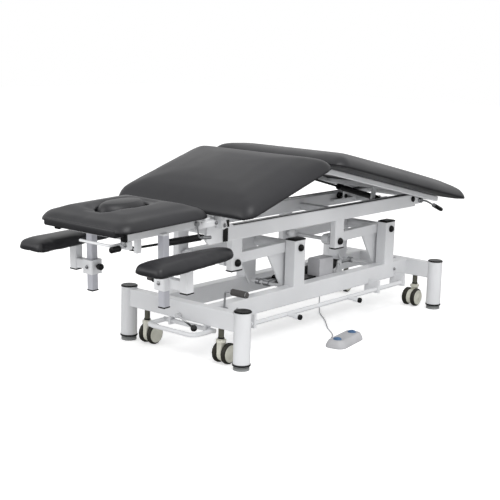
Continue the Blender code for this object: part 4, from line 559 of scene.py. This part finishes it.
piece("rail_screws", "base", ZINC, *side_screws(LEVEL, (-0.535, 0.545), OUTER_FACE, 0.176))
piece("roll_holder_screw", "head", ZINC,
      *screw_at(HEAD, Vector((-1.133 - SEAT, -0.1690, 0.5145)), (-1, 0, 0)))
piece("head_hinge_bolts", "head", ZINC, *side_screws(HEAD, (HEAD_PIVOT.x,), HEAD_BAR_FACE, 0.5275))
piece("mid_hinge_bolts", "mid", ZINC, *side_screws(LEVEL, (MID_PIVOT.x,), MID_LUG_FACE, MID_PIVOT.z))
for name, side in (("near", -1), ("far", 1)):
    piece(name + "_sleeve_screw", name + "_armrest", ZINC,
          *screw_at(HEAD, Vector((-0.9905 - SEAT, side * ARM_POST.y, 0.361)), (-1, 0, 0)))
    piece(name + "_pad_post_cap", name + "_armrest", NYLON, *caps_at(
        HEAD, [(PAD_POST.x, side * PAD_POST.y, PAD_POST.z - SEAT)], 0.036, 0.036, -0.005))

piece("armrest_post_caps", "head", NYLON, *caps_at(
    HEAD, [(ARM_POST.x, side * ARM_POST.y, ARM_POST.z - SEAT) for side in SIDES], 0.031, 0.031, -0.005))
piece("head_tube_plugs", "head", NYLON, *block_pair(
    HEAD, HEAD_TUBE_END - SEAT - 0.005, 0.165, 0.5395, (0.010, 0.026, 0.029), 0.003))
knob = [(0.0060, -0.0008), (0.0104, 0.0006), (0.0104, 0.0100), (0.0099, 0.0115), (0.0104, 0.0130),
        (0.0104, 0.0370), (0.0098, 0.0386), (0.0060, 0.0398), (0.0020, 0.0400)]
piece("roll_holder_knob", "head", NYLON,
      lathed(HEAD, Vector((-1.149, -0.157, 0.5042)), (-1, 0, 0), knob, 24))

# The near clamp has a long grip that points to the middle of the table.
knob_low, knob_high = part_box("near_clamp_knob")
knob_end = Vector(((knob_low.x + knob_high.x) / 2, knob_high.y - 0.002, (knob_low.z + knob_high.z) / 2))
clamp_grip = [(0.0060, 0.0), (0.0085, 0.0012), (0.0085, 0.0240), (0.0072, 0.0262), (0.0025, 0.0270)]
piece("near_clamp_grip", "near_knob", GRIP, lathed(Matrix(), knob_end, (0, 1, 0), clamp_grip, 24))

# The vinyl is drawn down over the board at the head edge, ahead of the tubes.
piece("head_pad_apron", "head", VINYL,
      softened_block(HEAD, Vector((-1.163, 0.0, 0.5600)), (0.052, 0.356, 0.030), 0.008))

# Black rings where the columns end above their levelling feet.
RING_STEP = 0.001
for corner in ("head_near", "head_far", "foot_near", "foot_far"):
    foot_low, foot_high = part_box("levelling_foot_" + corner)
    cap_low, cap_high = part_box("column_cap_" + corner)
    radius = (cap_high.x - cap_low.x) / 2
    ring = [(radius - RING_STEP, 0.0), (radius + RING_STEP, 0.0008),
            (radius + RING_STEP, 0.0062), (radius - RING_STEP, 0.0070)]
    foot_top = Vector(((foot_low.x + foot_high.x) / 2, (foot_low.y + foot_high.y) / 2, foot_high.z))
    piece("column_ring_" + corner, "base", NYLON, lathed(Matrix(), foot_top, (0, 0, 1), ring, 40))

# Castor hub faces: a dished cream disc with a raised rim and a small axle cap on each wheel.
STEM_X = 0.665
STEM_Y = 0.190
hub = [(0.0325, 0.0), (0.0325, 0.0012), (0.0298, 0.0022), (0.0274, 0.0010), (0.0120, 0.0012),
       (0.0090, 0.0026), (0.0055, 0.0032), (0.0015, 0.0034)]
collar = [(0.0113, 0.0), (0.0128, 0.0008), (0.0128, 0.0052), (0.0113, 0.0060)]
for end, stem_x in (("head", -STEM_X), ("foot", STEM_X)):
    for side_name, side in (("near", -1), ("far", 1)):
        corner = end + "_" + side_name
        low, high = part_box("castor_wheels_" + corner)
        axle = (low + high) / 2
        piece("castor_hubs_" + corner, "wheels_" + corner, HUB, *[
            lathed(Matrix(), Vector((axle.x, face + way * SEAT, axle.z)), (0, way, 0), hub, 40)
            for way, face in ((-1, low.y), (1, high.y))])
        piece("castor_collar_" + corner, "castor_" + corner, NYLON,
              lathed(LEVEL, Vector((stem_x, side * STEM_Y, STEM_FOOT)), (0, 0, 1), collar))

# Black ends of the two pegs on the foot bar.
tip = [(0.0108, 0.0), (0.0112, 0.0010), (0.0112, 0.0075), (0.0098, 0.0095), (0.0045, 0.0102)]
piece("foot_bar_peg_tips", "foot_bar", NYLON, *[
    lathed(LEVEL, Vector((peg_x, -0.2535, 0.120)), (0, -1, 0), tip) for peg_x in (-0.280, 0.126)])

# Ribbed grip of the hand lever.
RIB_COUNT = 9
RIB_STEP = 0.0076
ribs = [(0.0110, 0.0)]
for i in range(RIB_COUNT):
    start = i * RIB_STEP
    ribs += [(0.0128, 0.0014 + start), (0.0128, 0.0056 + start), (0.0121, 0.0064 + start)]
ribs += [(0.0110, 0.0705), (0.0040, 0.0715)]
piece("hand_lever_grip", "hand_lever", GRIP,
      lathed(LEVEL, Vector((-0.620, -0.1995, 0.265)), (0, -1, 0), ribs, 28))

# Plain grip of the leg release lever, over the outer half of its straight end.
RELEASE_Y = -0.1583
release_bend = Vector((0.7745, RELEASE_Y, 0.4618))
release_end = Vector((0.917, RELEASE_Y, 0.406))
release_grip = [(0.0078, 0.0), (0.0098, 0.0015), (0.0098, 0.0700), (0.0085, 0.0740), (0.0030, 0.0755)]
piece("leg_release_grip", "leg_lever", NYLON,
      lathed(LEVEL, release_bend.lerp(release_end, 0.50), release_end - release_bend, release_grip, 24))

# Strain relief where the cord enters the foot switch: ribs that get thinner along the cord.
RELIEF_RIBS = 4
RELIEF_STEP = 0.0036
relief = [(0.0034, 0.0)]
for i in range(RELIEF_RIBS):
    radius = 0.0052 - i * 0.0003
    start = i * RELIEF_STEP
    relief += [(radius, 0.0008 + start), (radius, 0.0028 + start), (0.0038, 0.0034 + start)]
relief += [(0.0030, 0.0160)]
switch_place = LEVEL @ Matrix.Translation(SWITCH) @ SWITCH_TURN
piece("switch_strain_relief", "base", PVC,
      lathed(switch_place, Vector((0.0, 0.0428, 0.012)), (0, 1, 0), relief, 20))


# Studio: a pale floor that keeps the shadow, soft light all round, a large lamp above and a weaker one
# at the head end.
SOFT_LIGHT = 0.78
PAPER_GLOW = 0.45
PAPER_HALF = 14.0
MIRROR_DIMMING = 0.85


def seen_directly(tree):
    """1 for rays that show the studio itself, also as a mirror image, 0 for the light it casts."""
    path = add(tree, "ShaderNodeLightPath").outputs
    either = add(tree, "ShaderNodeMath", {0: path["Is Camera Ray"], 1: path["Is Glossy Ray"]},
                 operation="MAXIMUM").outputs[0]
    return add(tree, "ShaderNodeMath", {0: either, 1: path["Is Transmission Ray"]},
               operation="MAXIMUM").outputs[0]


world = bpy.data.worlds.new("studio")
bpy.context.scene.world = world
world.use_nodes = True
sky = world.node_tree
glow = add(sky, "ShaderNodeMapRange", {"Value": seen_directly(sky), "To Min": SOFT_LIGHT, "To Max": 1.0})
background = sky.nodes["Background"]
background.inputs["Color"].default_value = (1.0, 1.0, 1.0, 1.0)
sky.links.new(glow.outputs["Result"], background.inputs["Strength"])

# Seamless paper: matt white with a faint fibre, lifted to white where the camera sees it unshaded.
PAPER = finish_of("white_paper_seamless", "f2f2f2", "f6f6f6", 900, 8, 0.02, 0.85, 0.95)
paper_tree = PAPER.node_tree
lit_paper = paper_tree.nodes["Principled BSDF"].outputs[0]
glow_of_paper = add(paper_tree, "ShaderNodeEmission", {"Color": (1, 1, 1, 1), "Strength": PAPER_GLOW})
both = add(paper_tree, "ShaderNodeAddShader", {0: lit_paper, 1: glow_of_paper.outputs[0]})
sorted_rays = add(paper_tree, "ShaderNodeMixShader",
                  {0: seen_directly(paper_tree), 1: lit_paper, 2: both.outputs[0]})
# Mirrored in the table the paper is dimmer, which keeps the sides of the pads darker than their tops.
mirrored = add(paper_tree, "ShaderNodeLightPath").outputs["Is Glossy Ray"]
dimming = add(paper_tree, "ShaderNodeMath", {0: mirrored, 1: MIRROR_DIMMING}, operation="MULTIPLY").outputs[0]
unlit = add(paper_tree, "ShaderNodeEmission", {"Strength": 0.0})
dimmed = add(paper_tree, "ShaderNodeMixShader", {0: dimming, 1: sorted_rays.outputs[0], 2: unlit.outputs[0]})
paper_tree.links.new(dimmed.outputs[0], paper_tree.nodes["Material Output"].inputs["Surface"])

sheet = bmesh.new()
bmesh.ops.create_grid(sheet, x_segments=8, y_segments=8, size=PAPER_HALF)
floor_mesh = bpy.data.meshes.new("floor")
sheet.to_mesh(floor_mesh)
sheet.free()
floor = bpy.data.objects.new("floor", floor_mesh)
floor_mesh.materials.append(PAPER)
bpy.context.scene.collection.objects.link(floor)


def lamp(name, place, target, width, watts):
    """A round area lamp that points at the target."""
    data = bpy.data.lights.new(name, "AREA")
    data.shape = "DISK"
    data.size = width
    data.energy = watts
    made = bpy.data.objects.new(name, data)
    made.location = place
    made.rotation_euler = (Vector(target) - Vector(place)).to_track_quat("-Z", "Y").to_euler()
    bpy.context.scene.collection.objects.link(made)
    return made


TABLE_HEART = (-0.1, 0.0, 0.45)
key_lamp = lamp("key_lamp", (-1.5, -2.0, 3.7), TABLE_HEART, 2.4, 78.0)
fill_lamp = lamp("fill_lamp", (-3.4, 1.4, 1.8), TABLE_HEART, 2.0, 25.0)

view = bpy.context.scene.view_settings
view.view_transform = "Standard"
